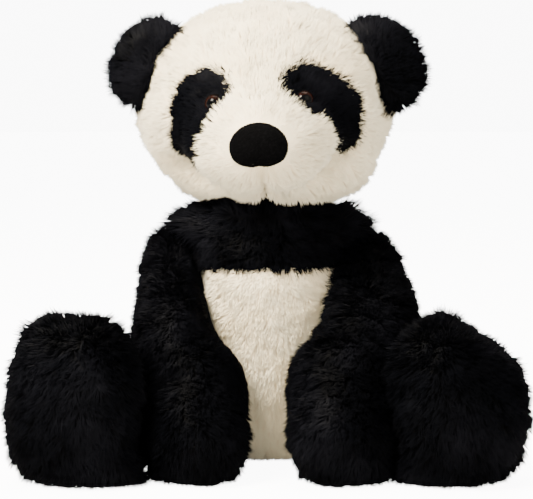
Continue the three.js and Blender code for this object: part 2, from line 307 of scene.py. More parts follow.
def remeshed(mesh: bmesh.types.BMesh, voxel: float) -> bmesh.types.BMesh:
    """One even quad surface round everything in a mesh.

    Args:
        mesh: closed shapes that may run into each other. It is freed.
        voxel: the side of the new faces.

    Returns:
        The new mesh.
    """
    data = bpy.data.meshes.new("rough")
    mesh.to_mesh(data)
    mesh.free()
    holder = bpy.data.objects.new("rough", data)
    bpy.context.scene.collection.objects.link(holder)
    modifier = holder.modifiers.new("even", "REMESH")
    modifier.mode = "VOXEL"
    modifier.voxel_size = voxel
    evaluated = holder.evaluated_get(bpy.context.evaluated_depsgraph_get())
    made = bmesh.new()
    made.from_mesh(evaluated.to_mesh())
    evaluated.to_mesh_clear()
    bpy.data.objects.remove(holder)
    bpy.data.meshes.remove(data)
    return made


def smoothed(mesh: bmesh.types.BMesh, rounds: int) -> None:
    """Evens out a mesh's surface, a number of times.

    Args:
        mesh: the mesh, which is changed.
        rounds: how often it is evened out.
    """
    for _ in range(rounds):
        bmesh.ops.smooth_vert(mesh, verts=mesh.verts[:], factor=0.5, **ALL_AXES)
    mesh.normal_update()


@dataclass(frozen=True)
class Stuffing:
    """How hard a skin is blown out by what fills it. The cloth is slack by a share of its size."""

    pressure: float = 4.0
    slack: float = 0.035
    most_out: float = 2.4
    most_in: float = 1.0
    frames: int = 16
    voxel: float = 5.0

    def swell(self, mesh: bmesh.types.BMesh) -> bmesh.types.BMesh:
        """Args:
            mesh: the closed skin. It is freed.

        Returns:
            The blown-out skin, with its faces cut in four once.
        """
        made = remeshed(mesh, self.voxel)
        smoothed(made, 4)
        rest = coordinates(made)
        normals = vertex_normals(made)
        moved = self._simulated(made) - rest
        out = (moved * normals).sum(1)
        kept = np.clip(out, -self.most_in, self.most_out) / np.where(np.abs(out) < 1e-6, 1.0, out)
        move_to(made, rest + moved * np.abs(kept)[:, None])
        bmesh.ops.subdivide_edges(made, edges=made.edges[:], cuts=1, use_grid_fill=True, smooth=0.6)
        return made

    def _simulated(self, mesh: bmesh.types.BMesh) -> np.ndarray:
        """The places of a skin's vertices once it has been blown out.

        Args:
            mesh: the closed skin, in millimetres.

        Returns:
            One row of coordinates for each vertex.
        """
        data = bpy.data.meshes.new("skin")
        mesh.to_mesh(data)
        data.transform(Matrix.Scale(MM, 4))
        holder = bpy.data.objects.new("skin", data)
        scene = bpy.context.scene
        scene.collection.objects.link(holder)
        cloth = holder.modifiers.new("stuffing", "CLOTH")
        cloth.settings.quality = 4
        cloth.settings.mass = 0.2
        cloth.settings.use_pressure = True
        cloth.settings.uniform_pressure_force = self.pressure
        cloth.settings.shrink_min = -self.slack
        cloth.settings.effector_weights.gravity = 0.0
        cloth.point_cache.frame_start = 1
        cloth.point_cache.frame_end = self.frames
        for moment in range(1, self.frames + 1):
            scene.frame_set(moment)
        evaluated = holder.evaluated_get(bpy.context.evaluated_depsgraph_get())
        places = np.empty(len(data.vertices) * 3)
        evaluated.data.vertices.foreach_get("co", places)
        bpy.data.objects.remove(holder)
        bpy.data.meshes.remove(data)
        scene.frame_set(1)
        return places.reshape(-1, 3) / MM


def united(
    forms: Sequence[Form], inset: float, voxel: float, rounds: int = 8, stuffing: Stuffing | None = None,
) -> bmesh.types.BMesh:
    """One smooth even surface round several forms.

    Args:
        forms: the forms.
        inset: how much they are shrunk by.
        voxel: the side of the surface's faces.
        rounds: how often it is smoothed.
        stuffing: blows the surface out, if given.

    Returns:
        The surface.
    """
    mesh = bmesh.new()
    for form in forms:
        form.add_to(mesh, inset)
    made = remeshed(stuffing.swell(mesh) if stuffing else mesh, voxel)
    smoothed(made, rounds)
    return made


def kept_faces(mesh: bmesh.types.BMesh, wanted: np.ndarray) -> bmesh.types.BMesh:
    """A copy of a mesh with only the faces that are wanted.

    Args:
        mesh: the mesh, which stays as it is.
        wanted: for each face, whether it is kept.

    Returns:
        The copy.
    """
    made = mesh.copy()
    made.faces.ensure_lookup_table()
    unwanted = [made.faces[i] for i in np.flatnonzero(~wanted)]
    bmesh.ops.delete(made, geom=unwanted, context="FACES")
    made.normal_update()
    return made


def face_middles(mesh: bmesh.types.BMesh) -> np.ndarray:
    """The middle of each face of a mesh."""
    return np.array([face.calc_center_median() for face in mesh.faces])


# ---------------------------------------------------------------- node groups and finishes


class Nodes:
    """A short way to place and join shader nodes in one node tree."""

    def __init__(self, tree: bpy.types.NodeTree) -> None:
        """Keeps the tree that nodes are added to."""
        self.tree = tree

    def add(self, kind: str, settings: dict | None = None, **inputs: object) -> bpy.types.Node:
        """Adds a node.

        Args:
            kind: the node's type name.
            settings: the node's own properties.
            **inputs: a value or an output socket for each input, by its name with _ for a space.

        Returns:
            The node.
        """
        node = self.tree.nodes.new(kind)
        for name, value in (settings or {}).items():
            setattr(node, name, value)
        for name, value in inputs.items():
            wanted = int(name[1:]) if name[0] == "i" and name[1:].isdigit() else name.replace("_", " ")
            socket = node.inputs[wanted]
            if isinstance(value, bpy.types.NodeSocket):
                self.tree.links.new(value, socket)
            else:
                socket.default_value = value
        return node

    def ramp(self, value: bpy.types.NodeSocket, low: float, high: float) -> bpy.types.NodeSocket:
        """A value mapped so that low gives 0 and high gives 1, and held there.

        Args:
            value: the socket that gives the value.
            low: the value that gives 0.
            high: the value that gives 1.

        Returns:
            The mapped value's socket.
        """
        smooth = {"interpolation_type": "SMOOTHSTEP"}
        node = self.add("ShaderNodeMapRange", smooth, Value=value, From_Min=low, From_Max=high)
        return node.outputs["Result"]

    def mix(self, share: object, first: object, second: object) -> bpy.types.NodeSocket:
        """Two colours mixed by a share."""
        return self.add("ShaderNodeMix", {"data_type": "RGBA"}, i0=share, i6=first, i7=second).outputs[2]

    def math(self, operation: str, first: object, second: object = 0.0) -> bpy.types.NodeSocket:
        """One arithmetic step."""
        return self.add("ShaderNodeMath", {"operation": operation}, i0=first, i1=second).outputs[0]


def group(name: str, inputs: dict[str, tuple[str, object]], outputs: dict[str, str]) -> bpy.types.NodeTree:
    """A new shader node group with named sockets.

    Args:
        name: the group's name.
        inputs: each input's socket type and its usual value.
        outputs: each output's socket type.

    Returns:
        The group's tree, with its input and output nodes named "in" and "out".
    """
    tree = bpy.data.node_groups.new(name, "ShaderNodeTree")
    for label, (kind, value) in inputs.items():
        tree.interface.new_socket(label, in_out="INPUT", socket_type=kind).default_value = value
    for label, kind in outputs.items():
        tree.interface.new_socket(label, in_out="OUTPUT", socket_type=kind)
    tree.nodes.new("NodeGroupInput").name = "in"
    tree.nodes.new("NodeGroupOutput").name = "out"
    return tree


def pile_tone_and_painted_light_group() -> bpy.types.NodeTree:
    """The colour of a hair: from its foot to its tip, darker at the foot as painted shade deep in the pile;
    from tuft to tuft; and in broad soft patches of painted light, a painted sheen on the black pile and
    painted shade on the white.

    Returns:
        The group's tree.
    """
    colour = "NodeSocketColor"
    number = "NodeSocketFloat"
    tree = group(
        "pile_tone_and_painted_light",
        {
            "Foot": (colour, (0.5, 0.5, 0.5, 1)),
            "Tip": (colour, (1, 1, 1, 1)),
            "Patch": (colour, (0.8, 0.8, 0.8, 1)),
            "Painted Light Share": (number, 0.3),
            "Tuft Contrast": (number, 0.15),
        },
        {"Colour": colour, "Height": number},
    )
    nodes = Nodes(tree)
    given = tree.nodes["in"].outputs
    height = nodes.add("ShaderNodeAttribute", {"attribute_name": "pile"}).outputs["Fac"]
    tuft = nodes.add("ShaderNodeAttribute", {"attribute_name": "tuft"}).outputs["Fac"]
    place = nodes.add("ShaderNodeTexCoord").outputs["Object"]
    broad = nodes.add("ShaderNodeTexNoise", Vector=place, Scale=24.0, Detail=2.0).outputs["Fac"]
    # The hair darkens from its tip down to its foot: painted shade deep in the pile.
    root_shade_up_the_hair = nodes.mix(nodes.ramp(height, 0.05, 0.85), given["Foot"], given["Tip"])
    # Broad soft patches of painted light at random places: a painted sheen on the black pile, painted shade
    # on the white.
    share = nodes.math("MULTIPLY", nodes.ramp(broad, 0.45, 0.7), given["Painted Light Share"])
    painted_light_patched = nodes.mix(share, root_shade_up_the_hair, given["Patch"])
    darker = nodes.math("SUBTRACT", 1.0, nodes.math("MULTIPLY", tuft, given["Tuft Contrast"]))
    tinted = nodes.add("ShaderNodeVectorMath", {"operation": "SCALE"}, i0=painted_light_patched, Scale=darker).outputs[0]
    out = tree.nodes["out"]
    tree.links.new(tinted, out.inputs["Colour"])
    tree.links.new(height, out.inputs["Height"])
    return tree


def fine_threads_group() -> bpy.types.NodeTree:
    """A fine woven or knitted surface: a height that follows crossed threads, and a mask of the gaps.

    Returns:
        The group's tree.
    """
    number = "NodeSocketFloat"
    tree = group(
        "fine_threads",
        {"Threads": (number, 900.0), "Wobble": (number, 0.2)},
        {"Height": number, "Gap": number},
    )
    nodes = Nodes(tree)
    given = tree.nodes["in"].outputs
    place = nodes.add("ShaderNodeTexCoord").outputs["Object"]
    wobble = nodes.add("ShaderNodeTexNoise", Vector=place, Scale=140.0, Detail=2.0).outputs["Fac"]
    shifted = nodes.math("MULTIPLY", wobble, given["Wobble"])
    split = nodes.add("ShaderNodeSeparateXYZ", i0=place).outputs
    heights = []
    for axis in ("X", "Y", "Z"):
        run = nodes.math("MULTIPLY", split[axis], given["Threads"])
        turned = nodes.math("ADD", run, nodes.math("MULTIPLY", shifted, 6.0))
        heights.append(nodes.math("SINE", nodes.math("MULTIPLY", turned, 2 * math.pi)))
    crossed = nodes.math("MULTIPLY", heights[0], heights[2])
    height = nodes.math("ADD", crossed, nodes.math("MULTIPLY", heights[1], 0.5))
    out = tree.nodes["out"]
    tree.links.new(height, out.inputs["Height"])
    tree.links.new(nodes.ramp(height, -0.2, -0.9), out.inputs["Gap"])
    return tree


class Groups:
    """The shared node groups, each built once."""

    _made: dict[str, bpy.types.NodeTree] = {}

    @classmethod
    def get(cls, build: Callable[[], bpy.types.NodeTree]) -> bpy.types.NodeTree:
        """The group that a function builds, built on its first use.

        Args:
            build: the function that builds the group.

        Returns:
            The group's tree.
        """
        if build.__name__ not in cls._made:
            cls._made[build.__name__] = build()
        return cls._made[build.__name__]


def new_material(name: str) -> tuple[bpy.types.Material, Nodes, bpy.types.Node]:
    """A node material, its node helper and its Principled shader.

    Args:
        name: the material's name.

    Returns:
        The material, its nodes and its shader.
    """
    made = bpy.data.materials.new(name)
    made.use_nodes = True
    shader = made.node_tree.nodes["Principled BSDF"]
    return made, Nodes(made.node_tree), shader


@dataclass(frozen=True)
class PileFinish:
    """The finish of one dye of pile fabric."""

    name: str
    # foot is darker than tip as painted shade deep in the pile; patch is painted light: a painted sheen on
    # the black pile, painted shade on the white.
    foot: Colour
    tip: Colour
    patch: Colour
    painted_light_share: float
    tuft_contrast: float
    roughness: float
    specular: float
    sheen: float
    sheen_tint: Colour
    sheen_roughness: float

    def material(self) -> bpy.types.Material:
        """Builds the material.

        Returns:
            The material.
        """
        made, nodes, shader = new_material(self.name)
        colour = nodes.add("ShaderNodeGroup", {"node_tree": Groups.get(pile_tone_and_painted_light_group)})
        colour.inputs["Foot"].default_value = (*self.foot, 1)
        colour.inputs["Tip"].default_value = (*self.tip, 1)
        colour.inputs["Patch"].default_value = (*self.patch, 1)
        colour.inputs["Painted Light Share"].default_value = self.painted_light_share
        colour.inputs["Tuft Contrast"].default_value = self.tuft_contrast
        made.node_tree.links.new(colour.outputs["Colour"], shader.inputs["Base Color"])
        shader.inputs["Roughness"].default_value = self.roughness
        shader.inputs["Specular IOR Level"].default_value = self.specular
        shader.inputs["Sheen Weight"].default_value = self.sheen
        shader.inputs["Sheen Tint"].default_value = (*self.sheen_tint, 1)
        shader.inputs["Sheen Roughness"].default_value = self.sheen_roughness
        return made


@dataclass(frozen=True)
class ClothFinish:
    """The finish of a plain cloth, thread or ribbon, with fine threads and painted shade in the gaps between
    them.
    """

    name: str
    colour: Colour
    shade: Colour
    threads: float
    bump: float
    roughness: float
    sheen: float = 0.2

    def material(self) -> bpy.types.Material:
        """Builds the material.

        Returns:
            The material.
        """
        made, nodes, shader = new_material(self.name)
        threads = {"node_tree": Groups.get(fine_threads_group)}
        weave = nodes.add("ShaderNodeGroup", threads, Threads=self.threads)
        place = nodes.add("ShaderNodeTexCoord").outputs["Object"]
        cloud = nodes.add("ShaderNodeTexNoise", Vector=place, Scale=90.0, Detail=4.0).outputs["Fac"]
        # The valleys between the threads take the shade colour as painted shade; the cloudy mottling is tone
        # that differs at random.
        gap_shade = nodes.math("MULTIPLY", weave.outputs["Gap"], 0.7)
        share = nodes.math("MAXIMUM", gap_shade, nodes.ramp(cloud, 0.5, 0.8))
        tone = nodes.mix(share, (*self.colour, 1), (*self.shade, 1))
        made.node_tree.links.new(tone, shader.inputs["Base Color"])
        height = weave.outputs["Height"]
        bump = nodes.add("ShaderNodeBump", Strength=self.bump, Distance=0.0003, Height=height)
        made.node_tree.links.new(bump.outputs["Normal"], shader.inputs["Normal"])
        shader.inputs["Roughness"].default_value = self.roughness
        shader.inputs["Sheen Weight"].default_value = self.sheen
        return made


@dataclass(frozen=True)
class WaddingFinish:
    """The finish of loose polyester fibre."""

    name: str = "fibre_wadding"

    def material(self) -> bpy.types.Material:
        """Builds the material.

        Returns:
            The material.
        """
        made, nodes, shader = new_material(self.name)
        place = nodes.add("ShaderNodeTexCoord").outputs["Object"]
        noise = nodes.add("ShaderNodeTexNoise", Vector=place, Scale=260.0, Detail=6.0, Distortion=2.5)
        curls = noise.outputs["Fac"]
        # Darker where the curls are low, which the bump makes into hollows: painted shade in the fibre's
        # hollows.
        tone = nodes.mix(nodes.ramp(curls, 0.35, 0.65), (0.72, 0.72, 0.7, 1), (0.93, 0.93, 0.92, 1))
        made.node_tree.links.new(tone, shader.inputs["Base Color"])
        bump = nodes.add("ShaderNodeBump", Strength=0.8, Distance=0.001, Height=curls)
        made.node_tree.links.new(bump.outputs["Normal"], shader.inputs["Normal"])
        shader.inputs["Roughness"].default_value = 1.0
        shader.inputs["Sheen Weight"].default_value = 0.4
        return made


@dataclass(frozen=True)
class PlasticFinish:
    """The finish of a moulded plastic piece with faint scuffs."""

    name: str
    colour: Colour
    roughness: float

    def material(self) -> bpy.types.Material:
        """Builds the material.

        Returns:
            The material.
        """
        made, nodes, shader = new_material(self.name)
        place = nodes.add("ShaderNodeTexCoord").outputs["Object"]
        scuff = nodes.add("ShaderNodeTexNoise", Vector=place, Scale=700.0, Detail=4.0).outputs["Fac"]
        shade = tuple(value * 0.85 for value in self.colour)
        tone = nodes.mix(nodes.ramp(scuff, 0.5, 0.75), (*self.colour, 1), (*shade, 1))
        made.node_tree.links.new(tone, shader.inputs["Base Color"])
        scuffed = self.roughness + 0.2
        rough = nodes.add("ShaderNodeMapRange", Value=scuff, To_Min=self.roughness, To_Max=scuffed)
        made.node_tree.links.new(rough.outputs["Result"], shader.inputs["Roughness"])
        return made


@dataclass(frozen=True)
class EyeFinish:
    """The finish of a safety eye: a black pupil and an amber iris under a clear dome."""

    name: str
    centre: Point
    outward: Point
    pupil: float = 3.4
    iris: float = 5.2

    def material(self) -> bpy.types.Material:
        """Builds the material.

        Returns:
            The material.
        """
        made, nodes, shader = new_material(self.name)
        turn = Vector(self.outward).to_track_quat("Z", "Y").to_euler()
        place = nodes.add("ShaderNodeTexCoord").outputs["Object"]
        middle = [value * MM for value in self.centre]
        offset = nodes.add("ShaderNodeVectorMath", {"operation": "SUBTRACT"}, i0=place, i1=middle).outputs[0]
        mapping = nodes.add("ShaderNodeMapping", {"vector_type": "TEXTURE"}, Vector=offset, Rotation=turn)
        local = mapping.outputs[0]
        split = nodes.add("ShaderNodeSeparateXYZ", i0=local).outputs
        squares = [nodes.math("MULTIPLY", split[axis], split[axis]) for axis in ("X", "Y")]
        radius = nodes.math("SQRT", nodes.math("ADD", *squares))
        spokes = nodes.add("ShaderNodeTexNoise", Vector=local, Scale=1400.0, Detail=3.0).outputs["Fac"]
        streaks = nodes.ramp(spokes, 0.35, 0.65)
        amber = nodes.mix(streaks, (0.003, 0.0008, 0.0004, 1), (0.014, 0.0035, 0.0015, 1))
        pupil = nodes.ramp(radius, (self.pupil - 0.15) * MM, (self.pupil + 0.15) * MM)
        inner = nodes.mix(pupil, (0.0005, 0.0005, 0.0005, 1), amber)
        edge = nodes.ramp(radius, (self.iris - 0.4) * MM, self.iris * MM)
        tone = nodes.mix(edge, inner, (0.004, 0.003, 0.003, 1))
        made.node_tree.links.new(tone, shader.inputs["Base Color"])
        shader.inputs["Roughness"].default_value = 0.06
        shader.inputs["Specular IOR Level"].default_value = 0.07
        return made


@dataclass(frozen=True)
class NoseFinish:
    """The finish of the nose: close black stitching over a soft pad."""

    name: str = "nose_stitching"

    def material(self) -> bpy.types.Material:
        """Builds the material.

        Returns:
            The material.
        """
        made, nodes, shader = new_material(self.name)
        threads = {"node_tree": Groups.get(fine_threads_group)}
        weave = nodes.add("ShaderNodeGroup", threads, Threads=1100.0)
        place = nodes.add("ShaderNodeTexCoord").outputs["Object"]
        lint = nodes.add("ShaderNodeTexNoise", Vector=place, Scale=900.0, Detail=5.0).outputs["Fac"]
        fluff = nodes.ramp(lint, 0.45, 0.75)
        tone = nodes.mix(fluff, (0.0004, 0.0004, 0.0005, 1), (0.0016, 0.0015, 0.0018, 1))
        made.node_tree.links.new(tone, shader.inputs["Base Color"])
        bump = nodes.add("ShaderNodeBump", Strength=0.35, Distance=0.0003, Height=weave.outputs["Height"])
        made.node_tree.links.new(bump.outputs["Normal"], shader.inputs["Normal"])
        shader.inputs["Roughness"].default_value = 0.75
        shader.inputs["Specular IOR Level"].default_value = 0.02
        return made


Finish = PileFinish | ClothFinish | WaddingFinish | PlasticFinish | NoseFinish


class Finishes:
    """Every material of the toy, each built on its first use."""

    _kinds: dict[Slot, Finish] = {
        Slot.WHITE: PileFinish(
            "white_pile",
            # foot and patch, darker than tip, are painted shade.
            foot=(0.94, 0.78, 0.53),
            tip=(0.99, 0.885, 0.63),
            patch=(0.92, 0.77, 0.50),
            painted_light_share=0.5,
            tuft_contrast=0.05,
            roughness=0.9,
            specular=0.1,
            sheen=0.2,
            sheen_tint=(1.0, 0.98, 0.95),
            sheen_roughness=0.5,
        ),
        Slot.BLACK: PileFinish(
            "black_pile",
            # foot, darker than tip, is painted shade; patch, lighter than tip, is a painted sheen.
            foot=(0.0002, 0.0002, 0.0003),
            tip=(0.0020, 0.0022, 0.0032),
            patch=(0.0070, 0.0072, 0.0098),
            painted_light_share=0.6,
            tuft_contrast=0.25,
            roughness=0.45,
            specular=0.014,
            sheen=0.003,
            sheen_tint=(0.75, 0.72, 0.80),
            sheen_roughness=0.35,
        ),
        Slot.FIBRE: WaddingFinish(),
        Slot.NOSE: NoseFinish(),
        Slot.WASHER: PlasticFinish("washer_plastic", colour=(0.82, 0.82, 0.79), roughness=0.4),
        Slot.MUSLIN: ClothFinish(
            "pellet_muslin",
            colour=(0.72, 0.66, 0.54),
            shade=(0.55, 0.49, 0.38),
            threads=700.0,
            bump=0.6,
            roughness=0.9,
        ),
        Slot.THREAD: ClothFinish(
            "sewing_thread",
            colour=(0.006, 0.006, 0.007),
            shade=(0.002, 0.002, 0.0025),
            threads=1500.0,
            bump=0.4,
            roughness=0.6,
        ),
        Slot.SATIN: ClothFinish(
            "label_satin",
            colour=(0.86, 0.86, 0.84),
            shade=(0.74, 0.74, 0.72),
            threads=2200.0,
            bump=0.15,
            roughness=0.35,
            sheen=0.5,
        ),
    }
    _made: dict[Slot, bpy.types.Material] = {}

    @classmethod
    def get(cls, slot: Slot) -> bpy.types.Material:
        """The material for a slot of the record.

        Args:
            slot: the slot of the record.

        Returns:
            Its material.
        """
        if slot not in cls._made:
            cls._made[slot] = cls._kinds[slot].material()
        return cls._made[slot]


# ---------------------------------------------------------------- pieces


def finished(
    name: str,
    mesh: bpy.types.Mesh,
    slot: Slot,
    body: str,
    nodes: Sequence[str],
    place: Matrix = Matrix.Identity(4),
    material: bpy.types.Material | None = None,
) -> bpy.types.Object:
    """Makes a finished piece of a mesh in millimetres.

    Args:
        name: the piece's name.
        mesh: its mesh, in the frame that place leads from.
        slot: the record's material slot.
        body: the body that it moves with.
        nodes: the CAD nodes that it stands for.
        place: leads from the mesh's frame to the toy's, in millimetres.
        material: its material, if it isn't the slot's own.

    Returns:
        The piece's object.
    """
    mesh.name = name
    mesh.transform(Matrix.Scale(MM, 4) @ place)
    mesh.materials.clear()
    mesh.materials.append(material or Finishes.get(slot))
    made = bpy.data.objects.new(name, mesh)
    bpy.context.scene.collection.objects.link(made)
    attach(made, body)
    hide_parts(*nodes)
    log.info("%s: %d faces on %s", name, len(mesh.polygons), body)
    return made


def smooth_mesh(mesh: bmesh.types.BMesh, name: str) -> bpy.types.Mesh:
    """A mesh with smooth shading, made of a bmesh, which is freed.

    Args:
        mesh: the bmesh, which is freed.
        name: the new mesh's name.

    Returns:
        The new mesh.
    """
    data = bpy.data.meshes.new(name)
    for face in mesh.faces:
        face.smooth = True
    mesh.to_mesh(data)
    mesh.free()
    return data


@dataclass(frozen=True)
class Pile:
    """How the pile of a fabric stands and lies.

    Sizes are millimetres and angles degrees. lean is from the skin's normal.
    """

    length: float
    lean: float
    tuft: float
    gather: float
    ragged: float
    stray: float
    seed: int = 1

    def tips(
        self, roots: np.ndarray, normals: np.ndarray, flow: np.ndarray, trim: np.ndarray
    ) -> tuple[np.ndarray, np.ndarray]:
        """Where the hairs' tips are.

        Args:
            roots: where the hairs leave the skin.
            normals: the skin's normals there.
            flow: the way the hairs are combed.
            trim: each hair's length, as a share of the full length.

        Returns:
            The tips, and a random tone from 0 to 1 that a tuft's hairs share.
        """
        rng = np.random.default_rng(self.seed)
        middles, luck = tufts(roots, self.tuft, self.seed)
        fine_middles, fine_luck = tufts(roots, self.tuft * 0.4, self.seed + 7)
        combed = along_skin(flow, normals)
        across = np.cross(normals, combed)
        swing = (luck[:, 0] - 0.5) * 1.1 + (fine_luck[:, 0] - 0.5) * 0.7
        combed = unit(combed + across * swing[:, None])
        lean = np.radians(self.lean * (0.75 + 0.5 * luck[:, 1]))
        direction = normals * np.cos(lean)[:, None] + combed * np.sin(lean)[:, None]
        direction = unit(direction + rng.normal(scale=self.stray, size=roots.shape))
        length = self.length * trim * (1 + self.ragged * (luck[:, 2] + 0.6 * fine_luck[:, 2] - 0.8))
        length *= rng.uniform(0.82, 1.12, len(roots))
        tips = roots + direction * length[:, None]
        for middle, share in ((middles, self.gather * 0.55), (fine_middles, self.gather)):
            toward = middle - roots
            toward -= (toward * normals).sum(1, keepdims=True) * normals
            tips += toward * (share * trim)[:, None]
        return tips, luck[:, 3]


def box_map(mesh: bpy.types.Mesh, places: np.ndarray, outer: np.ndarray) -> None:
    """Lays a mesh's faces out in islands by the way they face, the outside's large and the inside's small.

    Args:
        mesh: the mesh, which gets the map.
        places: each vertex's place on the bare skin.
        outer: for each face, whether it is on the outside.
    """
    faces, loops = len(mesh.polygons), len(mesh.loops)
    vertex = np.empty(loops, np.int32)
    mesh.loops.foreach_get("vertex_index", vertex)
    count = np.empty(faces, np.int32)
    mesh.polygons.foreach_get("loop_total", count)
    first = np.concatenate(([0], np.cumsum(count)[:-1]))
    corner = places[vertex]
    one, two, three = corner[first], corner[first + 1], corner[first + 2]
    facing = np.cross(two - one, three - one)
    axis = np.abs(facing).argmax(1)
    island = axis * 2 + (facing[np.arange(faces), axis] > 0)
    low, high = places.min(0), places.max(0)
    scaled = (corner - low) / (high - low).max()
    of_face = np.repeat(np.arange(faces), count)
    others = np.array([[1, 2], [0, 2], [0, 1]])[axis[of_face]]
    flat = np.take_along_axis(scaled, others, axis=1)
    column, row = island[of_face] % 3, island[of_face] // 3
    inside = ~outer[of_face]
    size = np.where(inside, 0.06, 0.27)
    start_u = np.where(inside, 0.02 + column * 0.065, 0.01 + column * 0.33)
    start_v = np.where(inside, 0.84 + row * 0.07, 0.01 + row * 0.4)
    uv = np.stack([start_u + flat[:, 0] * size, start_v + flat[:, 1] * size * 1.2], axis=1)
    layer = mesh.uv_layers.new(name="OFBake")
    layer.uv.foreach_set("vector", uv.astype(np.float32).ravel())


@dataclass
class FurPanel:
    """One cut piece of pile fabric: a thin wall of backing with its pile on the outside.

    wall is the backing's thickness and seam is how far its sewn edge is drawn in.
    """

    pile: Pile
    flow: Field
    trim: Field | None = None
    wall: float = 1.2
    seam: float = 1.2
    cuts: int = 1
    floor: bool = True
    softness: float = 0.65

    def mesh(self, skin: bmesh.types.BMesh, name: str) -> bpy.types.Mesh:
        """Grows the pile on a piece of skin.

        Args:
            skin: the fabric's own surface, in even quads. It is used up.
            name: the new mesh's name.

        Returns:
            The closed and furred mesh, in millimetres.
        """
        skin.normal_update()
        marked = skin.faces.layers.int.new("outside")
        tip_layer = skin.verts.layers.float.new("pile")
        rim = {vert for edge in skin.edges if edge.is_boundary for vert in edge.verts}
        for vert in rim:
            middles = [face.calc_center_median() for face in vert.link_faces]
            inward = sum(middles, Vector()) / len(middles)
            vert.co += (inward - vert.co).normalized() * 0.25 - vert.normal * self.seam
        inner = skin.faces[:]
        grown = bmesh.ops.extrude_face_region(skin, geom=inner)["geom"]
        outer_verts = [item for item in grown if isinstance(item, bmesh.types.BMVert)]
        outer_faces = [item for item in grown if isinstance(item, bmesh.types.BMFace)]
        skin.normal_update()
        for vert in outer_verts:
            vert.co += vert.normal * self.wall
        bmesh.ops.reverse_faces(skin, faces=inner)
        edges = list({edge for face in outer_faces for edge in face.edges})
        for face in outer_faces:
            face[marked] = 1
        bmesh.ops.subdivide_edges(skin, edges=edges, cuts=self.cuts, use_grid_fill=True)
        outer_faces = [face for face in skin.faces if face[marked] == 1 and len(face.verts) == 4]
        inside_verts = {vert for face in outer_faces for vert in face.verts}
        loose = [vert for vert in inside_verts if all(face[marked] == 1 for face in vert.link_faces)]
        bmesh.ops.smooth_vert(skin, verts=loose, factor=0.5, **ALL_AXES)
        triangles = bmesh.ops.triangulate(skin, faces=outer_faces)["faces"]
        poked = bmesh.ops.poke(skin, faces=triangles)
        for vert in poked["verts"]:
            vert[tip_layer] = 1.0
        for face in poked["faces"]:
            face[marked] = 1
        return self._combed(smooth_mesh(skin, name))

    def _combed(self, mesh: bpy.types.Mesh) -> bpy.types.Mesh:
        """Moves the tips of a poked mesh to where the pile puts them, and adds its map and its tones.

        Args:
            mesh: the poked mesh, whose "pile" attribute marks the tips.

        Returns:
            The same mesh, furred.
        """
        count = len(mesh.vertices)
        places = np.empty(count * 3)
        mesh.vertices.foreach_get("co", places)
        places = places.reshape(-1, 3)
        normals = np.empty(count * 3)
        mesh.vertex_normals.foreach_get("vector", normals)
        normals = normals.reshape(-1, 3)
        height = np.empty(count)
        mesh.attributes["pile"].data.foreach_get("value", height)
        outside = np.empty(len(mesh.polygons), np.int32)
        mesh.attributes["outside"].data.foreach_get("value", outside)
        box_map(mesh, places, outside == 1)
        tip = height > 0.5
        roots = places[tip]
        trim = np.ones(len(roots)) if self.trim is None else self.trim(roots, normals[tip])
        moved = places.copy()
        moved[tip], tone = self.pile.tips(roots, normals[tip], self.flow(roots, normals[tip]), trim)
        if self.floor:
            moved[:, 2] = np.maximum(moved[:, 2], 0.25 + 0.5 * hashed(np.floor(places * 2), 3)[:, 0])
        mesh.vertices.foreach_set("co", moved.ravel())
        _, luck = tufts(places, self.pile.tuft, self.pile.seed)
        tones = mesh.attributes.new("tuft", "FLOAT", "POINT")
        tones.data.foreach_set("value", luck[:, 3])
        mesh.update()
        combed = np.empty(count * 3)
        mesh.vertex_normals.foreach_get("vector", combed)
        soft = unit(normals * self.softness + combed.reshape(-1, 3) * (1 - self.softness))
        mesh.normals_split_custom_set_from_vertices(soft)
        return mesh


@dataclass
class Filling:
    """Loose fibre, pressed to the shape of the skin round it."""

    voxel: float = 4.5
    lumps: float = 0.9
    seed: int = 5

    def mesh(self, surface: bmesh.types.BMesh, name: str) -> bpy.types.Mesh:
        """Makes the surface of a filling lumpy.

        Args:
            surface: the filling's even surface. It is used up.
            name: the new mesh's name.

        Returns:
            The lumpy mesh, in millimetres.
        """
        places = coordinates(surface)
        normals = vertex_normals(surface)
        lumps = waves(places, 17.0, self.seed) + 0.5 * waves(places, 7.0, self.seed + 1) - 0.8
        move_to(surface, places + normals * (lumps * self.lumps)[:, None])
        return smooth_mesh(surface, name)


# ---------------------------------------------------------------- head


